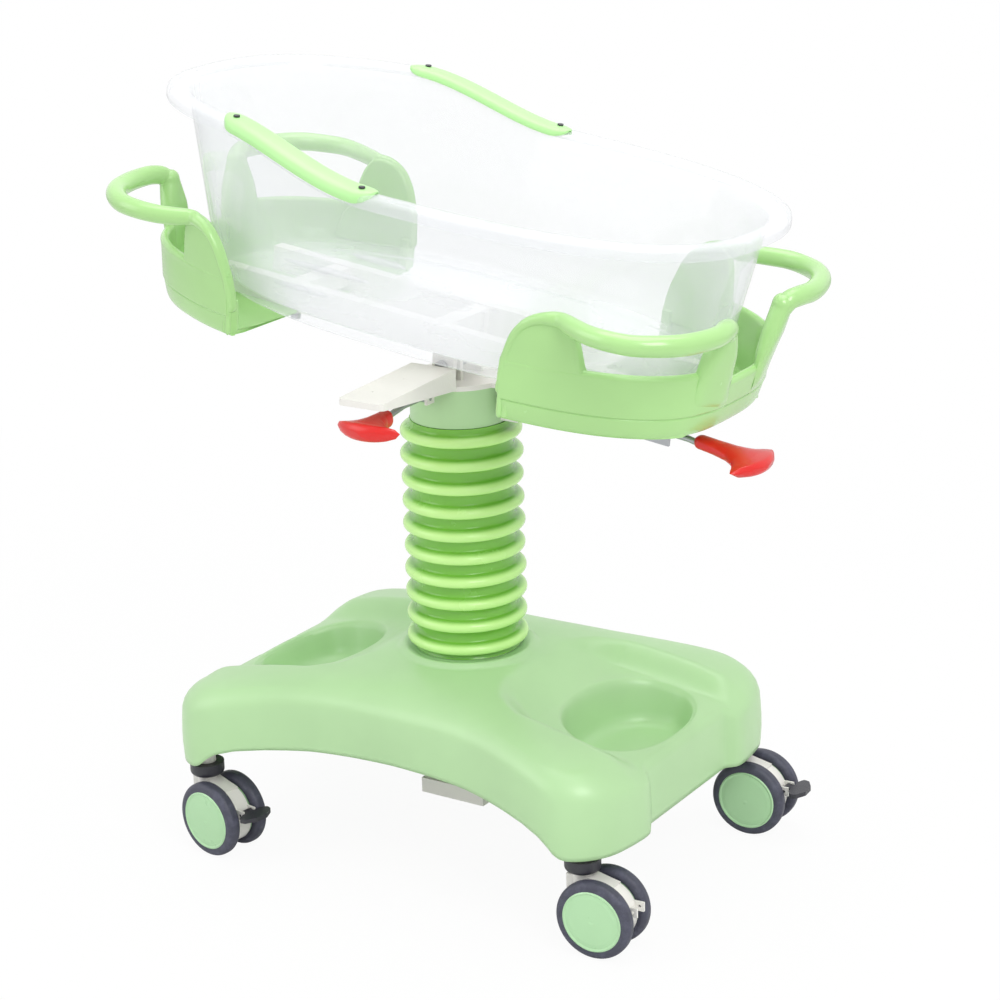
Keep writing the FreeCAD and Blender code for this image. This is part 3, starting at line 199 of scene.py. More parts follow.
def flexible(name, colour, deep, roughness):
    """Glossy soft rubber: painted shade deepens its colour in the grooves, with shallow dimples and dull
    dusty patches.
    """
    net = Net(name, colour, Coat_Weight=0.25, Coat_Roughness=0.2, IOR=1.48)
    patches = net.noise(14, 4, 0.6)
    crest = Number(net, net.node("ShaderNodeAttribute", {"attribute_name": "crest"}).outputs["Fac"])
    # painted shade: the colour falls from its own to the darker groove colour where the crest attribute is
    # low, with random patches mixed in
    crest_shade_and_patches = (crest.between(0.1, 0.95) + (patches - 0.5) * 0.25).clamped()
    net.feed(net.shader.inputs["Base Color"], net.tint(crest_shade_and_patches, (*deep, 1.0), net.colour))
    net.rough(roughness + patches.between(0.45, 0.75) * 0.12)
    net.bump(net.noise(60, 3) + net.noise(600, 2) * 0.2, 0.0005)
    return net.material


def coated_steel(name, colour, roughness):
    """Powder coat: orange-peel relief and slightly yellowed patches."""
    net = Net(name, colour, Coat_Weight=0.15, Coat_Roughness=0.25)
    net.shade(net.noise(9, 3).between(0.3, 0.7), 0.95, 1.0)
    net.rough(roughness + (net.noise(90, 3) - 0.5) * 0.2)
    net.bump(net.noise(320, 2, 0.45), 0.00018)
    return net.material


def plated_steel(name, colour, roughness, stretch=None):
    """Zinc or chrome: drawn streaks and clouded gloss."""
    net = Net(name, colour, Metallic=1.0)
    streaks = net.noise(120, 4, 0.6, stretch or (1, 8, 1))
    net.shade(streaks, 0.85, 1.08)
    net.rough(roughness + (streaks - 0.5) * 0.22)
    net.bump(streaks, 0.00008)
    return net.material


def rolling_rubber(name, colour):
    """Grey castor tread: fine grain, scuffed paler and rougher along the running line."""
    net = Net(name, colour, IOR=1.45)
    scuffs = net.noise(70, 5, 0.7)
    net.shade(scuffs.between(0.4, 0.75), 0.85, 1.35)
    net.rough(0.48 + (scuffs - 0.5) * 0.3)
    net.bump(net.noise(900, 2) * 0.5 + scuffs, 0.0002)
    return net.material


def clear_plastic(name, colour, opacity):
    """Clear polycarbonate: thin and bright face on, milky at grazing angles, with fine scuffs."""
    net = Net(name, colour, Roughness=0.09, IOR=1.5, Coat_Weight=0.6, Coat_Roughness=0.05)
    edge = net.facing(0.35) ** 1.6
    haze = net.noise(10, 3).between(0.3, 0.7)
    net.feed(net.shader.inputs["Alpha"], (opacity + edge * 0.5 + haze * 0.03).clamped())
    net.rough(0.08 + net.noise(150, 4, 0.7).between(0.55, 0.8) * 0.2)
    net.shade(haze, 0.98, 1.0)
    net.bump(net.noise(25, 2), 0.0003)
    return net.material


def make_materials(looks):
    """One finished material for each material slot of the record."""
    return {
        "mint_abs": moulded("mint_abs", looks.mint, 0.36, 0.15, 0.25),
        "green_abs": moulded("green_abs", looks.green, 0.24, 0.35, 0.06),
        "lime_rubber": flexible("lime_rubber", looks.lime, looks.groove_shade, 0.2),
        "lime_strip": moulded("lime_strip", looks.strip, 0.4, 0.1, 0.3),
        "clear_polycarbonate": clear_plastic("clear_polycarbonate", looks.clear, looks.opacity),
        "white_steel": coated_steel("white_steel", looks.white, 0.32),
        "zinc_steel": plated_steel("zinc_steel", linear(176, 178, 182), 0.34),
        "black_steel": coated_steel("black_steel", linear(30, 31, 33), 0.35),
        "chrome": plated_steel("chrome", linear(215, 217, 220), 0.12, (1, 1, 6)),
        "nylon": moulded("nylon", linear(225, 224, 216), 0.5, 0.0, 0.3),
        "red_plastic": moulded("red_plastic", looks.red, 0.32, 0.2, 0.05),
        "charcoal_plastic": moulded("charcoal_plastic", linear(46, 46, 54), 0.4, 0.1, 0.5),
        "cream_plastic": moulded("cream_plastic", linear(240, 238, 232), 0.3, 0.2, 0.1),
        "slate_tyre": rolling_rubber("slate_tyre", looks.tyre),
        "mint_cap": moulded("mint_cap", looks.cap, 0.3, 0.2, 0.15),
    }


def colour_choice(name, description, *screen):
    """A colour property, with its default written as 0 to 255 screen values."""
    default = linear(*screen)
    return FloatVectorProperty(name=name, description=description, subtype="COLOR", default=default)


def length_choice(name, description, default):
    """A length property, in metres."""
    return FloatProperty(name=name, description=description, subtype="DISTANCE", default=default)


class BassinetLooks(bpy.types.PropertyGroup):
    """Colours a user would change."""

    mint: colour_choice("Base", "Base cover and collar", 178, 216, 162)
    green: colour_choice("Cradles", "End cradles", 170, 217, 140)
    lime: colour_choice("Bellows", "Bellows rubber", 200, 246, 152)
    # painted shade: the darker colour painted into the bellows' grooves
    groove_shade: colour_choice("Grooves", "Bellows grooves", 122, 190, 66)
    strip: colour_choice("Strips", "Grip strips", 181, 236, 158)
    clear: colour_choice("Tub", "Clear tub", 243, 245, 249)
    white: colour_choice("Steel", "Powder coat", 236, 234, 228)
    red: colour_choice("Grips", "Lever grips", 222, 24, 18)
    tyre: colour_choice("Tyres", "Castor tyres", 74, 75, 90)
    cap: colour_choice("Wheel centres", "Castor discs", 178, 220, 172)
    opacity: FloatProperty(
        name="Tub opacity", description="Opacity of the tub seen face on", subtype="FACTOR", default=0.16)


class BassinetSizes(bpy.types.PropertyGroup):
    """Sizes a user would change."""

    cover_wall: length_choice("Cover wall", "Thickness of the base cover's shell", 0.0038)
    ring_depth: length_choice("Bellows rings", "How far the bellows' rings stand out", 0.0125)
    tilt_grip_width: length_choice("Tilt grip", "Width of the tilt lever's grip", 0.11)
    height_grip_width: length_choice("Height grip", "Width of the height lever's grip", 0.102)


# ------------------------------------------------------------------ surfaces
def level(points):
    """Millimetres in the tilting frame's own level coordinates, to metres at the resting tilt."""
    x, y, z = np.moveaxis(np.asarray(points, float) / 1000, -1, 0)
    across = x * math.cos(REST_TILT) + z * math.sin(REST_TILT)
    up = z * math.cos(REST_TILT) - x * math.sin(REST_TILT)
    return np.stack([across, y, up], axis=-1) + TILT_PIVOT


def upright(points):
    """Millimetres from the floor under the column, to metres."""
    return np.asarray(points, float) / 1000 + [COLUMN_X, 0, 0]


def mirrored(points):
    """The same places on the other side of the long middle plane."""
    return points * [1, -1, 1]


def curve(points, count, closed=False):
    """Places along a smooth curve through the given ones: a Catmull-Rom cubic on each span."""
    points = np.asarray(points, float)
    if closed:
        padded = np.concatenate([points[-1:], points, points[:2]])
    else:
        padded = np.concatenate([2 * points[:1] - points[1:2], points, 2 * points[-1:] - points[-2:-1]])
    spans = len(points) if closed else len(points) - 1
    along = np.linspace(0, spans, count, endpoint=not closed)
    span = np.minimum(along.astype(int), spans - 1)
    t = (along - span)[:, None]
    a, b, c, d = (padded[span + step] for step in range(4))
    cubic = (3 * b - a - 3 * c + d) * t**3
    return 0.5 * (2 * b + (c - a) * t + (2 * a - 5 * b + 4 * c - d) * t**2 + cubic)


def rounded(corners, radius, steps=5):
    """A closed polygon whose corners are turned into short parabolas that start radius before each corner."""
    corners = np.asarray(corners, float)
    back = np.roll(corners, 1, axis=0) - corners
    ahead = np.roll(corners, -1, axis=0) - corners
    back_length = np.linalg.norm(back, axis=1, keepdims=True)
    ahead_length = np.linalg.norm(ahead, axis=1, keepdims=True)
    radius = np.broadcast_to(np.asarray(radius, float), len(corners))[:, None]
    start = corners + back / back_length * np.minimum(radius, 0.48 * back_length)
    end = corners + ahead / ahead_length * np.minimum(radius, 0.48 * ahead_length)
    t = np.linspace(0, 1, steps)[None, :, None]
    arcs = (1 - t) ** 2 * start[:, None] + 2 * t * (1 - t) * corners[:, None] + t**2 * end[:, None]
    return arcs.reshape(-1, corners.shape[1])


def full_turn(count):
    """Angles once round, without the last, which is the first again."""
    return np.linspace(0, 2 * math.pi, count, endpoint=False)


def circle(radius, count):
    """Places at radius times the cosine and sine of each angle."""
    turn = full_turn(count)
    return radius * np.stack([np.cos(turn), np.sin(turn)], axis=-1)


def oval(half_x, half_y, power, turn):
    """Places on |x/a|^n + |y/b|^n = 1 in the direction turn."""
    cosine, sine = np.cos(turn), np.sin(turn)
    reach = (np.abs(cosine / half_x) ** power + np.abs(sine / half_y) ** power) ** (-1 / power)
    return np.stack([reach * cosine, reach * sine], axis=-1)


def run_along(path):
    """Distance from the start of a path to each of its places."""
    return np.concatenate([[0], np.cumsum(np.linalg.norm(np.diff(path, axis=0), axis=1))])


def evenly(plan, count, endpoint=True):
    """Places at equal distances along a flat path."""
    run = run_along(plan)
    even = np.linspace(0, run[-1], count, endpoint=endpoint)
    return np.stack([np.interp(even, run, plan[:, 0]), np.interp(even, run, plan[:, 1])], axis=-1)


def right_of(ahead):
    """Unit vectors a quarter turn clockwise from the given flat ones."""
    turned = np.stack([ahead[:, 1], -ahead[:, 0]], axis=-1)
    return turned / np.linalg.norm(ahead, axis=1, keepdims=True)


def ahead_of(outline):
    """From the place before to the place after, at each place of a closed outline."""
    return np.roll(outline, -1, axis=0) - np.roll(outline, 1, axis=0)


def eased(value, low, high):
    """0 below low, 1 above high, and 3t^2 - 2t^3 between them."""
    t = np.clip((np.asarray(value, float) - low) / (high - low), 0, 1)
    return t * t * (3 - 2 * t)


def swept(path, sections, side, ease):
    """Loops of a flat section standing square on a path.

    Place = path + section x * sideways + section y * (tangent x sideways), where sideways starts near the
    given direction and stays square to the path. Ease shrinks the section over that length at both ends.
    """
    path = np.asarray(path, float)
    sections = np.broadcast_to(sections, (len(path),) + np.shape(sections)[-2:])
    tangent = np.gradient(path, axis=0)
    tangent /= np.linalg.norm(tangent, axis=1, keepdims=True)
    across = np.empty_like(path)
    held = np.asarray(side, float)
    for step, ahead in enumerate(tangent):
        held = held - ahead * (held @ ahead)
        held /= np.linalg.norm(held)
        across[step] = held
    lift = np.cross(tangent, across)
    loops = path[:, None] + sections[..., :1] * across[:, None] + sections[..., 1:] * lift[:, None]
    run = run_along(path)
    near = np.clip(np.minimum(run, run[-1] - run) / ease, 0, 1)
    share = np.sqrt(1 - (1 - near) ** 2)[:, None, None]
    return path[:, None] + (loops - path[:, None]) * share


def plate(outline, thickness, edge):
    """Loops of a flat plate with rounded edges, lying in its own x and y: the outline is drawn in towards its
    middle by edge * (1 - sin) while its height goes over by edge * (1 - cos)."""
    outline = np.asarray(outline, float)
    following = np.roll(outline, -1, axis=0)
    area = np.sum(outline[:, 0] * following[:, 1] - outline[:, 1] * following[:, 0])
    inward = -right_of(ahead_of(outline)) * np.sign(area)
    middle = outline.mean(axis=0)
    turn = np.linspace(0, math.pi / 2, 5)
    loops = []
    for draw, height in zip(edge * (1 - np.sin(turn)), edge * (1 - np.cos(turn))):
        loops.append((outline + inward * draw, height))
    face = outline + inward * edge
    inner = [(middle + (face - middle) * share, 0) for share in (0.25, 0.6, 0.94)]
    below = inner + loops
    above = [(points, thickness - height) for points, height in reversed(below)]
    return np.array([at_height(points, height) for points, height in below + above])


def at_height(plan, height):
    """Flat places lifted to a height, or each to its own."""
    return np.column_stack([plan, np.broadcast_to(height, len(plan))])


def quads_between(rows, joined):
    """Corner numbers of the quads between neighbouring loops, and those of the places in each loop."""
    count, around = rows.shape[:2]
    index = np.arange(count * around).reshape(count, around)
    lower = index if joined else index[:-1]
    upper = np.roll(index, -1, axis=0) if joined else index[1:]
    quads = np.stack([lower, np.roll(lower, -1, axis=1), np.roll(upper, -1, axis=1), upper], axis=-1)
    return quads.reshape(-1, 4), index


def skin(rows, joined=False):
    """Vertices and faces of a surface through rows of closed loops; open ends close on a middle point."""
    quads, index = quads_between(rows, joined)
    verts = rows.reshape(-1, 3)
    faces = quads.tolist()
    if not joined:
        for ring, centre in ((index[0], len(verts)), (index[-1], len(verts) + 1)):
            ends = np.stack([ring, np.roll(ring, -1), np.full(len(ring), centre)], axis=-1)
            faces += ends.tolist()
        verts = np.concatenate([verts, rows[:1].mean(axis=1), rows[-1:].mean(axis=1)])
    return verts, faces


def add_piece(name, skins, look, body, replaced, sharp=40):
    """One object made of closed surfaces, riding on a body and standing for the CAD nodes it replaces."""
    verts = []
    faces = []
    for points, loops in skins:
        base = sum(len(part) for part in verts)
        verts.append(points)
        faces += [[base + corner for corner in loop] for loop in loops]
    mesh = bpy.data.meshes.new(name)
    mesh.from_pydata(np.concatenate(verts).tolist(), [], faces)
    return finish_mesh(mesh, look, body, replaced, sharp)


def finish_mesh(mesh, look, body, replaced, sharp, seams=None):
    """Faces turned outwards, smooth shading with sharp corners kept, a material, and the body it rides on."""
    shell = bmesh.new()
    shell.from_mesh(mesh)
    if seams:
        seams(shell)
    bmesh.ops.recalc_face_normals(shell, faces=shell.faces)
    shell.to_mesh(mesh)
    shell.free()
    mesh.polygons.foreach_set("use_smooth", np.ones(len(mesh.polygons), bool))
    mesh.set_sharp_from_angle(angle=math.radians(sharp))
    mesh.materials.append(MATERIALS[look])
    piece = bpy.data.objects.new(mesh.name, mesh)
    bpy.context.collection.objects.link(piece)
    if body:
        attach(piece, body)
    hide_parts(*replaced)
    return piece


# ------------------------------------------------------------------ cradles
# Millimetres from the tilt's pivot, with the frame level: x towards the foot end, y to the back, z up.
CRADLE_END = 390
CRADLE_SIDE = 208
CRADLE_OPEN = 184
CRADLE_POWER = 3
HEAD_SHIFT = 16
EAR_THICKNESS = 15
EAR_LEAN = 14
END_DROP = 19
EAR_OUTLINE = [
    (181, 56), (180, 75), (183, 96), (188, 113), (196, 134), (207, 150), (221, 161), (236, 166), (250, 167),
    (261, 163), (270, 150), (275, 134), (278, 117), (281, 104), (289, 93), (296, 70), (294, 56), (262, 52),
    (214, 52),
]
EAR_RIM = [
    (185, 26), (185, 53), (185, 75), (187.5, 96), (193, 113), (201, 132), (212, 147.5), (225.5, 157),
    (240, 161.5), (256, 162),
]
HANDLE_PATH = [
    (280, 206, 161), (305, 215, 161), (332, 218.5, 162), (358, 212, 162), (381, 196, 163), (398, 173, 163),
    (408, 145, 163), (412.5, 117, 163), (410.5, 93, 163.5), (405, 76, 160), (399, 68, 147), (394, 66, 129),
]
HANDLE_RADIUS = [[0, 0.1, 0.26, 0.36, 0.46, 0.7, 0.94, 1], [3.5, 4, 5, 7, 11, 12.6, 12, 7]]
PILLAR_PATH = [
    (402, 70, 169), (399, 69, 150), (394, 67, 125), (389, 65, 101), (386, 64, 79), (384, 63, 60),
    (376, 63, 42),
]
WALL_SECTION = [
    # outwards from the plan, up
    (-15, 24), (-6, 24), (-0.5, 49), (-1.8, 50.5), (1.2, 52), (4.5, 94), (6, 100), (1, 105.5), (-5, 103),
    (-6, 95), (-10, 31), (-15, 30),
]
WALL_ROUNDING = [1, 12, 1.5, 1.2, 1.5, 6, 4, 5, 4, 3, 6, 1]


def wall_reach(x):
    """Half width of the cradle's plan at x."""
    return CRADLE_SIDE * (1 - (x / CRADLE_END) ** CRADLE_POWER) ** (1 / CRADLE_POWER)


def cradle_wall():
    """Section carried round an oval: place = oval + outward * section x, section y up. The top of the section
    drops at the middle of the end, between the pillars."""
    plan = oval(CRADLE_END, CRADLE_SIDE, CRADLE_POWER, np.linspace(-1.35, 1.35, 1200))
    plan = evenly(plan[plan[:, 0] > CRADLE_OPEN - 0.1], 150)
    outward = right_of(np.gradient(plan, axis=0))
    section = rounded(WALL_SECTION, WALL_ROUNDING)
    at_end = 1 - eased(np.abs(plan[:, 1]), 40, 62)
    near_top = eased(section[:, 1], 56, 94)
    drop = END_DROP * at_end[:, None] * near_top[None, :]
    flat = plan[:, None] + outward[:, None] * section[None, :, :1]
    return np.concatenate([flat, (section[None, :, 1] - drop)[..., None]], axis=-1)


def cradle_floor():
    """Rows of thin rectangles across the tray, from its open edge to its round end."""
    x = np.concatenate([[CRADLE_OPEN], np.linspace(CRADLE_OPEN + 1, 372, 30)])[:, None]
    share, height = rounded([(-1, 24.2), (1, 24.2), (1, 30), (-1, 30)], [0.1, 0.1, 0.4, 0.4]).T
    across = share * (wall_reach(x) - 12)
    return np.stack(np.broadcast_arrays(x, across, height), axis=-1)


def ear_face(x, z):
    """How far out an ear's face is: on the plan at its foot, and leaning outwards above it."""
    return wall_reach(x) + EAR_LEAN * eased(z, 45, 175)


def cradle_ear():
    """Plate with a smooth outline that follows the curved wall and leans outwards."""
    outline = curve(EAR_OUTLINE, 110, closed=True)
    x, z, depth = np.moveaxis(plate(outline, EAR_THICKNESS, 4), -1, 0)
    return np.stack([x, ear_face(x, z) - EAR_THICKNESS + depth, z], axis=-1)


def cradle_handle():
    """One round bar: the ear's rim, which thickens into the handle and turns down into the pillar."""
    x, z = np.array(EAR_RIM).T
    rim = np.column_stack([x, ear_face(x, z) - 3, z])
    path = curve(np.concatenate([rim, HANDLE_PATH]), 190)
    radius = np.interp(np.linspace(0, 1, 190), *HANDLE_RADIUS)
    return swept(path, circle(1, 28)[None] * radius[:, None, None], (0, 1, 0), ease=6)


def cradle_pillar():
    """Rounded rectangle growing from the handle's turned-down end into the wall."""
    path = curve(PILLAR_PATH, 52)
    share = np.linspace(0, 1, 52)
    wide = np.interp(share, [0, 0.14, 0.3, 0.52, 0.7, 1], [12.5, 14, 22, 29, 32, 34])[:, None]
    thick = np.interp(share, [0, 0.14, 0.35, 0.54, 0.74, 0.87, 1], [12, 12.5, 12, 10, 6.5, 3.5, 2])[:, None]
    power = np.interp(share, [0, 0.14, 0.35, 0.6, 1], [2, 2.2, 3.4, 2.5, 2])[:, None]
    return swept(path, oval(wide, thick, power, full_turn(40)), (-0.26, 0.96, 0), ease=11)


def cradle_corner():
    """Rounded post that closes the wall's open end under the ear."""
    x = CRADLE_OPEN + 4.5
    z = np.linspace(24.3, 72, 12)
    path = np.column_stack([np.full(12, x), ear_face(x, z) - 10, z])
    section = rounded([(-6.5, -10), (6.5, -10), (6.5, 8), (-6.5, 8)], 4)
    return swept(path, section[None], (1, 0, 0), ease=3)


def head_places(points):
    """The foot cradle turned end for end and moved out, with its open edge drawn back a little, and most at
    its sides."""
    x, y, z = np.moveaxis(points, -1, 0)
    draw = 12 * (1 - eased(x, CRADLE_OPEN, 300)) * (0.2 + 0.8 * eased(np.abs(y), 130, 192))
    return np.stack([-x - draw - HEAD_SHIFT, y, z], axis=-1)


def add_cradles():
    """A tray at each end, with an ear, a handle, a pillar and a corner post at the front and at the back."""
    floor = cradle_floor()
    wall = cradle_wall()
    paired = [cradle_ear(), cradle_handle(), cradle_pillar(), cradle_corner()]
    for node in ("cradle_foot", "cradle_head"):
        parts = [wall, floor] + paired + [mirrored(part) for part in paired]
        if node == "cradle_head":
            parts = [head_places(part) for part in parts]
        add_piece(node + "_shell", [skin(level(part)) for part in parts], "green_abs", "tilt", [node])


# ------------------------------------------------------------------ tub
TUB_FLOOR = 63
TUB_WALL = 3.5
FLOOR_HEAD, FLOOR_FOOT, FLOOR_SIDE, FLOOR_POWER = 343, 348, 175, 2.5
RIM_HEAD, RIM_FOOT, RIM_SIDE, RIM_POWER = 392, 380, 204, 2.6
FLANGE_END, FLANGE_SIDE = 22, 28
RIM_TOP, RIM_FALL = 298, 42
FALL_START, FALL_END = -230, -5
TUB_OUTSIDE = [
    # share of the way up, how far out of the wall, height above the wall's own
    (0, -330, 0), (0, -200, 0), (0, -110, 0), (0, -60, 0), (0, -40, 0), (0, -32, -1.5), (0, -25, -6),
    (0, -19, -8), (0, -12, -7.4), (0, -6, -4.6), (0, -2, 1), (0, -0.5, 9), (0.09, 0, 0), (0.2, 0, 0),
    (0.35, 0, 0), (0.5, 0, 0), (0.65, 0, 0), (0.8, 0, 0), (0.92, 0, 0), (0.975, 1, 0), (0.99, 3, 0),
    (1, 8, -2), (1, 16, -3), (1, 22, -4), (1, 24, -6), (1, 24.4, -13), (1, 25.4, -15), (1, 27.4, -15),
    (1, 28.4, -13), (1, 28.2, -5),
]
TUB_INSIDE = [
    (1, 27, -1.6), (1, 24, 0.4), (1, 16, 1), (1, 7, 0.6), (1, 1.5, -0.8), (0.985, -2, -1), (0.96, -3.3, 0),
    (0.85, -TUB_WALL, 0), (0.7, -TUB_WALL, 0), (0.5, -TUB_WALL, 0), (0.35, -TUB_WALL, 0),
    (0.2, -TUB_WALL, 0), (0.09, -TUB_WALL, 1), (0, -4.4, 14), (0, -7.4, 9), (0, -13, 5.4), (0, -20, 3.9),
    (0, -32, TUB_WALL), (0, -60, TUB_WALL), (0, -110, TUB_WALL), (0, -200, TUB_WALL), (0, -330, TUB_WALL),
]


def rim_height(x):
    """Level at the head, an S-shaped fall, level at the foot."""
    return RIM_TOP - RIM_FALL * eased(x, FALL_START, FALL_END)


def tub_plan(share, out, turn):
    """Oval whose two ends differ in length; its sizes and power go from those of the floor to those of the
    rim, and it is moved outwards, a little less at its ends than at its sides."""
    head = FLOOR_HEAD + (RIM_HEAD - FLOOR_HEAD) * share
    foot = FLOOR_FOOT + (RIM_FOOT - FLOOR_FOOT) * share
    side = FLOOR_SIDE + (RIM_SIDE - FLOOR_SIDE) * share
    along = np.where(np.cos(turn) > 0, foot, head) + out * (FLANGE_END / FLANGE_SIDE if out > 0 else 1)
    return oval(along, side + out, FLOOR_POWER + (RIM_POWER - FLOOR_POWER) * share, turn)


def tub_rib(x, y, length):
    """A long low blister: ellipsoid on the tub's floor."""
    turn = full_turn(32)
    rise = np.linspace(0.02, math.pi - 0.02, 15)[:, None]
    reach = np.sin(rise)
    height = TUB_FLOOR + TUB_WALL + 4 * np.cos(rise)
    across = y + 8 * reach * np.sin(turn)
    return np.stack(np.broadcast_arrays(x + length / 2 * reach * np.cos(turn), across, height), axis=-1)


def add_tub():
    """Loops round the tub from the middle of its underside, out, up the wall, over the rim and back inside.

    Each loop's height is the floor's plus a share of the rim's height at that x.
    """
    turn = full_turn(240)
    loops = []
    for share, out, lift in TUB_OUTSIDE + TUB_INSIDE:
        if out < -5:
            plan = tub_plan(0, 0, turn) * (1 + out / FLOOR_HEAD)
        else:
            plan = tub_plan(share, out, turn)
        rise = rim_height(plan[:, 0]) - TUB_FLOOR
        loops.append(at_height(plan, TUB_FLOOR + rise * share + lift))
    ribs = [tub_rib(-211, 0, 136), tub_rib(-188, 84, 86), tub_rib(-188, -84, 86)]
    skins = [skin(level(part)) for part in [np.array(loops)] + ribs]
    add_piece("tub_shell", skins, "clear_polycarbonate", "tilt", ["tub"], sharp=60)


# ------------------------------------------------------------------ grips
STRIP_START, STRIP_END, STRIP_TAPER = -230, 6, 24
STRIP_HEART = (0.3, 3.4)
STRIP_SECTION = [
    # share of the rim's width, height above the rim
    (-0.21, -5.5), (-0.17, 2.6), (0.08, 5.2), (0.5, 5.4), (0.92, 3.6), (1.09, -1.5), (1.09, -10.5),
    (1.03, -10.9), (1.02, -1.5), (0.5, 0.7), (0, 1.6), (-0.14, -5.5),
]
STRIP_ROUNDING = [0.5, 3, 3, 3, 4, 4, 0.5, 0.5, 1, 1, 1, 0.5]


def grip_strip():
    """Section laid over the rim and carried along it: place = (x, rim's half width at x, rim's height) plus
    the section, which shrinks towards its own heart near each end. The places stand closer at the ends, by
    half a cosine wave."""
    x = STRIP_START + (STRIP_END - STRIP_START) * (1 - np.cos(np.linspace(0, math.pi, 90)[:, None])) / 2
    near = np.clip(np.minimum(x - STRIP_START, STRIP_END - x) / STRIP_TAPER, 0, 1)
    size = np.maximum(1 - (1 - near) ** 2, 0.0004) ** 0.5
    section = rounded(STRIP_SECTION, STRIP_ROUNDING, 4)
    out, lift = (heart + (part - heart) * size for heart, part in zip(STRIP_HEART, section.T))
    half_x = np.where(x < 0, RIM_HEAD, RIM_FOOT) + FLANGE_END * out
    half_y = RIM_SIDE + FLANGE_SIDE * out
    y = half_y * (1 - (np.abs(x) / half_x) ** RIM_POWER) ** (1 / RIM_POWER)
    return np.stack(np.broadcast_arrays(x, y, rim_height(x) + lift), axis=-1)


def add_strips():
    """The same strip on both sides of the tub."""
    strip = grip_strip()
    for node, points in (("grip_strip_back", strip), ("grip_strip_front", mirrored(strip))):
        add_piece(node + "_skin", [skin(level(points))], "lime_strip", "tilt", [node])


def lever_grip(start, end, droop, width, bulk=1.0):
    """Paddle swept along a lever: an oval section that flares to the width, in metres, with an end bowed back
    by 18 mm times the square of its share of the width."""
    half_spread = width * 500
    start, end = np.array(start, float), np.array(end, float)
    share = np.linspace(0, 1, 70)
    path = start + (end - start) * share[:, None] - [0, 0, droop] * (share**2)[:, None]
    wide = np.interp(share, [0, 0.3, 0.5, 0.66, 0.82, 0.94, 1], [0.17, 0.21, 0.31, 0.5, 0.82, 0.99, 1])
    thick = np.interp(share, [0, 0.4, 0.8, 0.93, 1], [8.5, 8.8, 8.2, 8.8, 8])
    sections = oval(half_spread * wide[:, None], bulk * thick[:, None], 2.3, full_turn(44))
    ahead = (end - start) / np.linalg.norm(end - start)
    side = np.array([-ahead[1], ahead[0], 0])
    loops = swept(path, sections, side, ease=9)
    off = (loops - path[:, None]) @ side
    back = 18 * (off / half_spread) ** 2 * eased(share, 0.45, 1)[:, None]
    return loops - ahead * back[..., None]


def add_grips(sizes):
    """A paddle on each lever: the tilt lever's under the foot end, and the height lever's at the front."""
    tilt_grip = lever_grip((337, 0, 592.5), (434, 0, 575), 4, sizes.tilt_grip_width)
    height_grip = lever_grip((0, -152, 616), (0, -217, 611), 1, sizes.height_grip_width, 1.3)
    add_piece("tilt_grip_skin", [skin(upright(tilt_grip))], "red_plastic", "tilt_lever", ["tilt_lever_grip"])
    surface = skin(upright(height_grip))
    add_piece("height_grip_skin", [surface], "red_plastic", "height_lever", ["height_lever_grip"])


# ------------------------------------------------------------------ base cover
# Millimetres from the floor under the column's middle.
COVER_QUARTER = [
    # plan of a quarter of the outline, from the middle of a side to the middle of an end
    (0, 184), (50, 185.5), (100, 190), (145, 199), (185, 211), (216, 221.5), (242, 229.5), (261, 233),
    (278, 233), (294, 227.5), (308, 217), (320, 202), (328, 184), (332.5, 162), (335, 142), (336, 124),
    (333.5, 111), (327, 104), (323, 99), (322, 88), (322, 70), (322, 40), (322, 0),
]
COVER_ARCH = [
    # distance from the middle, height of the skirt's lower edge
    (0, 167.5), (60, 166.5), (120, 164.5), (180, 159.5), (220, 154.5), (246, 147), (260, 138), (269, 129.5),
    (278, 125), (287, 123.5),
]
COVER_PANEL = [(0, 280), (96, 272), (122, 252), (162, 234), (240, 222), (312, 211), (345, 204)]
PANEL_HALF = [[96, 122, 162, 240, 345], [60, 92, 112, 117, 121]]
COLUMN_OPENING = 66.6
WELL_MIDDLE = 237
WELL_HALF_X, WELL_HALF_Y, WELL_POWER = 75, 108, 2.25
WELL_SKEW = 0.0014
WELL_SEAM = 3
WELL_STEP = 183
WELL_FLOOR = [
    # how far out of the rim, height
    (-73, 168), (-58, 168), (-40, 168), (-33, 168.6), (-27, 170), (-22, 173), (-18, 178),
]
WELL_WALL = [
    # how far out of the rim, share of the way up to the deck, height above the wall's own
    (-15.5, 0.08, 0), (-13, 0.28, 0), (-10.5, 0.5, 0), (-8, 0.72, 0), (-6, 0.88, -0.8), (-4.6, 1, -4.2),
    (-3.4, 1, -2.2), (-2, 1, -1), (-0.6, 1, -0.35), (1.2, 1, -0.1), (WELL_SEAM, 1, 0),
]


def cover_height(x, y):
    """Height of the deck: a crown that falls as x^2 and, near its edges, as y^9, with sunk end panels that
    are blended in by a square root, and a low ring round the column."""
    far = np.abs(x)
    half = 184 + 52 * eased(far, 0, 285)
    across = np.abs(y) / half
    crown = 272 - 46 * (x / 322) ** 2 - 26 * (np.maximum(far - 285, 0) / 50) ** 2
    crown = crown - (42 - 22 * eased(far, 100, 300)) * (0.36 * across**2 + 0.64 * across**9)
    stations, heights = np.array(COVER_PANEL).T
    above = crown - np.interp(far, stations, heights)
    sunk = (above + np.sqrt(above**2 + 160)) / 2 * eased(far, 66, 150)
    panel_half = np.interp(far, *PANEL_HALF)
    sunk = sunk * (1 - eased(np.abs(y), panel_half - 12, panel_half + 30))
    out = np.hypot(x, y)
    ring = 5.5 * (1 - eased(out, 84, 93)) - 3 * (1 - eased(out, 74, 84))
    return crown - sunk + ring


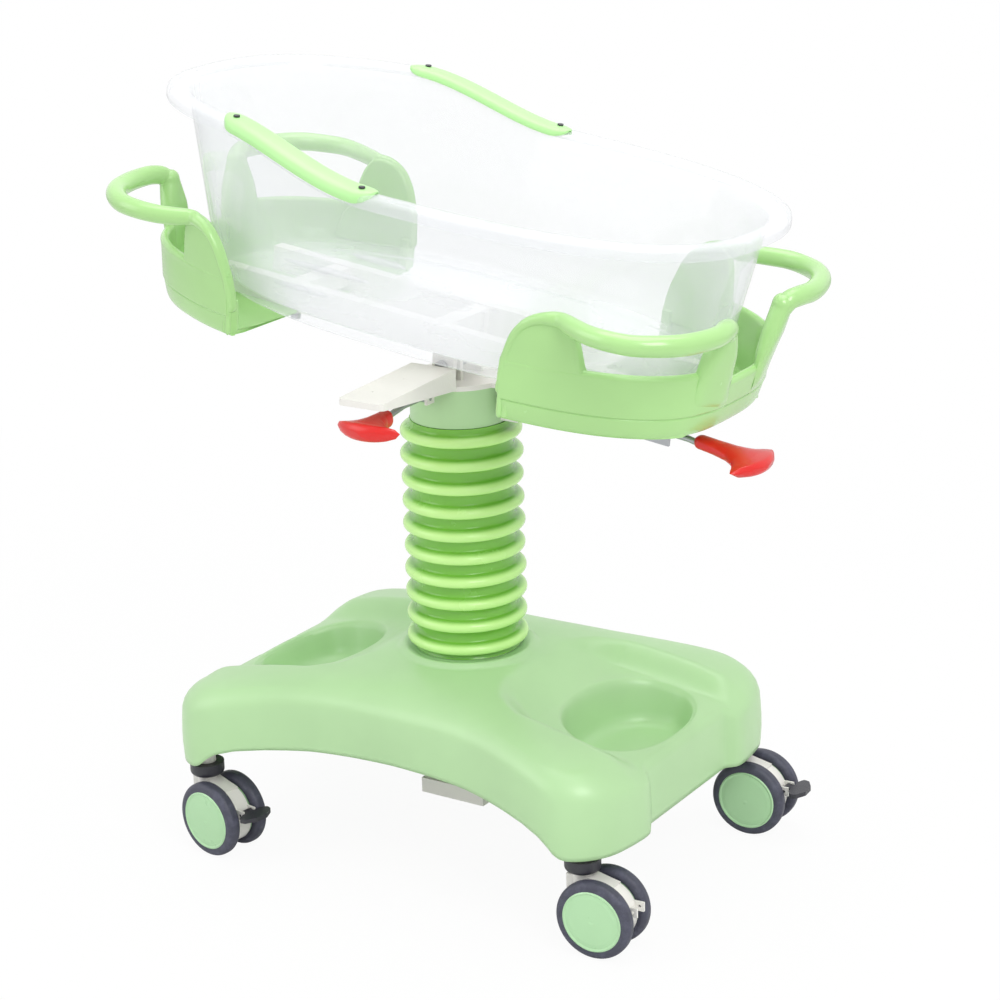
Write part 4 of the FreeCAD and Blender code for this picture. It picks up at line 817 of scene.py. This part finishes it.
def well_rim(side, out, turn):
    """Plan of a well's rim, moved outwards by out: an oval that widens in proportion to x."""
    plan = oval(WELL_HALF_X + out, WELL_HALF_Y + out, WELL_POWER, turn)
    plan[:, 1] *= 1 + WELL_SKEW * plan[:, 0]
    return (plan + [WELL_MIDDLE, 0]) * [side, 1]


def within_wells(plan):
    """Which places lie in a well, or a little outside its seam."""
    found = np.zeros(len(plan), bool)
    for side in (1, -1):
        x = plan[:, 0] * side - WELL_MIDDLE
        y = plan[:, 1] / (1 + WELL_SKEW * x)
        reach = (np.abs(x / (WELL_HALF_X + WELL_SEAM)) ** WELL_POWER
                 + np.abs(y / (WELL_HALF_Y + WELL_SEAM)) ** WELL_POWER)
        found |= reach < 1.07
    return found


def cover_deck():
    """Sheet from the column's opening out to the outline, over its edge and down to the arched skirt."""
    quarter = np.array(COVER_QUARTER, float)
    half = np.concatenate([quarter, quarter[-2::-1] * [1, -1]])
    outline = evenly(curve(np.concatenate([half, half[-2:0:-1] * [-1, 1]]), 1600, closed=True), 440, False)
    inward = right_of(ahead_of(outline))
    start = outline / np.linalg.norm(outline, axis=1, keepdims=True) * COLUMN_OPENING
    far, across = np.abs(outline).T
    edge = np.interp(across, [112, 150], [7, 17]) + 12 * eased(far, 235, 300) * eased(across, 130, 200)
    brink = outline + inward * edge[:, None]
    opening = cover_height(*start.T)
    rows = [at_height(start, opening - 9), at_height(start + outline * 0.001, opening - 1.5)]
    for share in np.linspace(0.01, 1, 66):
        plan = start + (brink - start) * share
        rows.append(at_height(plan, cover_height(*plan.T)))
    level_brink = rows[-1][:, 2]
    deep = np.interp(edge, [7, 17, 29], [12, 23, 40])
    for turn in np.linspace(0, math.pi / 2, 7)[1:]:
        plan = outline + inward * edge[:, None] * (1 - math.sin(turn))
        fall = deep * math.tan(turn / 2) ** 1.25 + 4 * math.sin(turn)
        rows.append(at_height(plan, level_brink - fall))
    arch = np.interp(far, *np.array(COVER_ARCH).T)
    top = rows[-1][:, 2]
    for share in (0.08, 0.3, 0.6, 0.9, 1):
        plan = outline - inward * 1.5 * math.sin(share * math.pi)
        rows.append(at_height(plan, top + (arch - top) * share))
    return np.array(rows)


def cover_well(side):
    """Bowl from the middle of its floor, over a step, up the wall and over the rim onto the deck."""
    turn = full_turn(132)
    rows = [at_height(well_rim(side, out, turn), height) for out, height in WELL_FLOOR]
    for out, share, lift in WELL_WALL:
        plan = well_rim(side, out, turn)
        rows.append(at_height(plan, WELL_STEP + (cover_height(*plan.T) - WELL_STEP) * share + lift))
    return np.array(rows)


def join_wells(shell):
    """Fill the narrow gaps between the deck's two cut edges and the rims of the wells."""
    for side in (1, -1):
        seam = []
        for edge in shell.edges:
            middle = (edge.verts[0].co + edge.verts[1].co) / 2
            if edge.is_boundary and middle.z > 0.19 and (middle.x - COLUMN_X) * side > 0.1:
                seam.append(edge)
        bmesh.ops.triangle_fill(shell, use_beauty=True, edges=seam, normal=(0, 0, 1))


def add_cover(sizes):
    """Deck with two openings, and a bowl in each; the sheet's wall is given inwards."""
    deck = cover_deck()
    verts = deck.reshape(-1, 3)
    quads, _ = quads_between(deck, joined=False)
    used, kept = np.unique(quads[~within_wells(verts)[quads].any(axis=1)], return_inverse=True)
    all_verts = [verts[used]]
    faces = kept.reshape(-1, 4).tolist()
    for side in (1, -1):
        base = sum(len(part) for part in all_verts)
        bowl = cover_well(side)
        quads, index = quads_between(bowl, joined=False)
        first = index[0]
        spokes = np.stack([np.roll(first, -1), first, np.full(len(first), bowl[..., 0].size)], axis=-1)
        all_verts += [bowl.reshape(-1, 3), bowl[:1].mean(axis=1)]
        faces += (base + quads[:, ::side]).tolist() + (base + spokes[:, ::side]).tolist()
    mesh = bpy.data.meshes.new("cover_shell")
    mesh.from_pydata(upright(np.concatenate(all_verts)).tolist(), [], faces)
    piece = finish_mesh(mesh, "mint_abs", "base", ["base_cover"], 70, join_wells)
    wall = piece.modifiers.new("wall", "SOLIDIFY")
    wall.thickness = sizes.cover_wall
    wall.offset = -1


# ------------------------------------------------------------------ bellows
RINGS = 10
GROOVE_RADIUS = 65.5
COLLAR_RADIUS = 68.5
RUBBER = 2.2
BELLOWS_FOOT, BELLOWS_HEIGHT = 272.5, 305
RING_PROFILE = [
    # share of a ring's height, share of its depth
    (0.0, 0.0), (0.12, 0.005), (0.2, 0.05), (0.235, 0.2), (0.25, 0.42), (0.27, 0.62), (0.3, 0.78),
    (0.35, 0.9), (0.41, 0.975), (0.48, 1.0), (0.55, 0.985), (0.61, 0.92), (0.66, 0.8), (0.69, 0.64),
    (0.71, 0.43), (0.725, 0.2), (0.76, 0.05), (0.84, 0.005),
]


def add_bellows(sizes):
    """Turned rings: each one's radius follows the same profile; widths differ a little, and the rings sag."""
    along, depth = np.array(RING_PROFILE).T
    ring = np.arange(RINGS)[:, None]
    share = np.append(((ring + along[None]) / RINGS).ravel(), 1)
    wave = np.append(np.tile(depth, RINGS), 0)
    radius = GROOVE_RADIUS + (sizes.ring_depth * 1000 + 0.5 * np.sin(7.3 * share * math.pi + 1)) * wave
    height = BELLOWS_FOOT + BELLOWS_HEIGHT * share - 1.5 * wave * np.sin(math.pi * share)
    radius[0] = COLLAR_RADIUS
    radius = np.concatenate([radius, radius[::-1] - RUBBER])[:, None]
    height = np.concatenate([height, height[::-1]])[:, None]
    turn = full_turn(120)
    rows = np.stack(np.broadcast_arrays(radius * np.cos(turn), radius * np.sin(turn), height), axis=-1)
    surface = skin(upright(rows), joined=True)
    bellows = add_piece("bellows_skin", [surface], "lime_rubber", None, ["bellows"], sharp=80)
    # crest: how far each place stands out on its ring; the rubber's material paints shade into the grooves by
    # it
    crest = bellows.data.attributes.new("crest", "FLOAT", "POINT")
    crest.data.foreach_set("value", np.repeat(np.concatenate([wave, 0 * wave]), 120).astype(np.float32))
    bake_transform(bellows)


# ------------------------------------------------------------------ operators
def finish_cad():
    """Give every carried-over CAD node the material of its slot."""
    for part in frame["record"]["subparts"]:
        node = frame["nodes"][part["node"]]
        if not node.material_slots:
            node.data.materials.append(None)
        for held in node.material_slots:
            held.material = MATERIALS[part["material_slot"]]


class BASSINET_OT_finishes(bpy.types.Operator):
    """Make the materials and give them to the CAD nodes"""

    bl_idname = "bassinet.finishes"
    bl_label = "Finishes"

    def execute(self, context):
        MATERIALS.update(make_materials(context.scene.bassinet_looks))
        finish_cad()
        return {"FINISHED"}


class BASSINET_OT_cradles(bpy.types.Operator):
    """Add the two moulded cradles: trays, ears, handles and pillars"""

    bl_idname = "bassinet.cradles"
    bl_label = "Cradles"

    def execute(self, context):
        add_cradles()
        return {"FINISHED"}


class BASSINET_OT_tub(bpy.types.Operator):
    """Add the clear tub"""

    bl_idname = "bassinet.tub"
    bl_label = "Tub"

    def execute(self, context):
        add_tub()
        return {"FINISHED"}


class BASSINET_OT_grips(bpy.types.Operator):
    """Add the soft grip strips on the rim and the red lever grips"""

    bl_idname = "bassinet.grips"
    bl_label = "Grips"

    def execute(self, context):
        add_strips()
        add_grips(context.scene.bassinet_sizes)
        return {"FINISHED"}


class BASSINET_OT_cover(bpy.types.Operator):
    """Add the moulded base cover with its two wells"""

    bl_idname = "bassinet.cover"
    bl_label = "Base Cover"

    def execute(self, context):
        add_cover(context.scene.bassinet_sizes)
        return {"FINISHED"}


class BASSINET_OT_bellows(bpy.types.Operator):
    """Add the ringed bellows round the column"""

    bl_idname = "bassinet.bellows"
    bl_label = "Bellows"

    def execute(self, context):
        add_bellows(context.scene.bassinet_sizes)
        return {"FINISHED"}


class BASSINET_OT_stage(bpy.types.Operator):
    """Add the floor, the lights, the surroundings and the camera"""

    bl_idname = "bassinet.stage"
    bl_label = "Stage"

    def execute(self, context):
        add_floor()
        add_lights()
        add_surroundings(context.scene)
        add_camera(context.scene)
        return {"FINISHED"}


# ------------------------------------------------------------------ stage
def add_floor():
    """A wide pale disc: lit plainly, and shown to the camera as nearly white with a faint shadow."""
    mesh = bpy.data.meshes.new("floor")
    mesh.from_pydata(at_height(circle(8, 64), 0).tolist(), [], [list(range(64))])
    floor = bpy.data.objects.new("floor", mesh)
    bpy.context.collection.objects.link(floor)
    net = Net("floor_white", (0.86, 0.86, 0.86), Roughness=0.9)
    net.shader.inputs["Specular IOR Level"].default_value = 0.1
    glow = net.node("ShaderNodeEmission", None, {"Color": (1, 1, 1, 1), "Strength": 1.0})
    distance = net.node("ShaderNodeVectorMath", {"operation": "LENGTH"}, {0: net.place})
    whiter = Number(net, distance.outputs["Value"]).between(0.3, 2.2) * 0.06 + 0.94
    seen = Number(net, net.node("ShaderNodeLightPath").outputs["Is Camera Ray"]) * whiter
    mix = net.node("ShaderNodeMixShader", None, {0: seen, 1: net.shader.outputs[0], 2: glow.outputs[0]})
    net.feed(net.tree.nodes["Material Output"].inputs["Surface"], mix.outputs[0])
    mesh.materials.append(net.material)


def add_lights():
    """Three soft lamps aimed at the middle of the column."""
    lamps = {
        # name: place, size in metres, power in watts
        "key_right": ((2.6, -1.6, 3.0), 1.8, 62),
        "fill_left": ((-2.6, -2.6, 2.2), 2.6, 34),
        "top": ((0.0, 0.4, 3.4), 2.4, 46),
    }
    for name, (place, width, power) in lamps.items():
        light = bpy.data.lights.new(name, "AREA")
        light.size = width
        light.energy = power
        lamp = bpy.data.objects.new(name, light)
        aim = Vector((0, 0, 0.5)) - Vector(place)
        lamp.matrix_world = Matrix.Translation(place) @ aim.to_track_quat("-Z", "Y").to_matrix().to_4x4()
        bpy.context.collection.objects.link(lamp)


def add_surroundings(scene):
    """Soft light from all round, and plain white where the camera or a gloss looks past the object."""
    world = bpy.data.worlds.new("studio")
    scene.world = world
    world.use_nodes = True
    tree = world.node_tree
    soft = tree.nodes["Background"]
    soft.inputs["Color"].default_value = (1, 1, 1, 1)
    soft.inputs["Strength"].default_value = 0.62
    seen = tree.nodes.new("ShaderNodeBackground")
    seen.inputs["Color"].default_value = (1, 1, 1, 1)
    seen.inputs["Strength"].default_value = 1.0
    rays = tree.nodes.new("ShaderNodeLightPath")
    both = tree.nodes.new("ShaderNodeMath")
    both.operation = "MAXIMUM"
    tree.links.new(rays.outputs["Is Camera Ray"], both.inputs[0])
    tree.links.new(rays.outputs["Is Glossy Ray"], both.inputs[1])
    mix = tree.nodes.new("ShaderNodeMixShader")
    tree.links.new(both.outputs[0], mix.inputs[0])
    tree.links.new(soft.outputs[0], mix.inputs[1])
    tree.links.new(seen.outputs[0], mix.inputs[2])
    tree.links.new(mix.outputs[0], tree.nodes["World Output"].inputs["Surface"])


def add_camera(scene):
    """A long lens from the front right, a little above the rim."""
    azimuth = math.radians(33.44)
    pitch = math.radians(18.29)
    roll = math.radians(-1.77)
    sideways = Vector((math.cos(azimuth), math.sin(azimuth), 0))
    inwards = Vector((-math.sin(azimuth), math.cos(azimuth), 0))
    ahead = inwards * math.cos(pitch) - Vector((0, 0, math.sin(pitch)))
    above = sideways.cross(ahead)
    right = sideways * math.cos(roll) + above * math.sin(roll)
    up = above * math.cos(roll) - sideways * math.sin(roll)
    lens = bpy.data.cameras.new("camera")
    lens.sensor_width = 36
    lens.lens = 94.42
    lens.clip_end = 40
    camera = bpy.data.objects.new("camera", lens)
    turn = Matrix((right, up, -ahead)).transposed().to_4x4()
    camera.matrix_world = Matrix.Translation((1.789 + COLUMN_X, -2.625, 1.513)) @ turn
    bpy.context.collection.objects.link(camera)
    scene.camera = camera
    scene.view_settings.view_transform = "Standard"


class BASSINET_PT_panel(bpy.types.Panel):
    """Buttons for each group of pieces"""

    bl_idname = "BASSINET_PT_panel"
    bl_label = "Bassinet"
    bl_space_type = "VIEW_3D"
    bl_region_type = "UI"
    bl_category = "Bassinet"

    def draw(self, context):
        for operator in OPERATORS:
            self.layout.operator(operator.bl_idname)
        for group in (context.scene.bassinet_looks, context.scene.bassinet_sizes):
            for name in type(group).__annotations__:
                self.layout.prop(group, name)


OPERATORS = [
    BASSINET_OT_finishes,
    BASSINET_OT_cradles,
    BASSINET_OT_tub,
    BASSINET_OT_grips,
    BASSINET_OT_cover,
    BASSINET_OT_bellows,
    BASSINET_OT_stage,
]
CLASSES = [BassinetLooks, BassinetSizes, *OPERATORS, BASSINET_PT_panel]


def register():
    for cls in CLASSES:
        bpy.utils.register_class(cls)
    bpy.types.Scene.bassinet_looks = PointerProperty(type=BassinetLooks)
    bpy.types.Scene.bassinet_sizes = PointerProperty(type=BassinetSizes)


def unregister():
    del bpy.types.Scene.bassinet_looks
    del bpy.types.Scene.bassinet_sizes
    for cls in reversed(CLASSES):
        bpy.utils.unregister_class(cls)


def main():
    register()
    for operator in OPERATORS:
        group, action = operator.bl_idname.split(".")
        getattr(getattr(bpy.ops, group), action)()


if __name__ == "__main__":
    main()
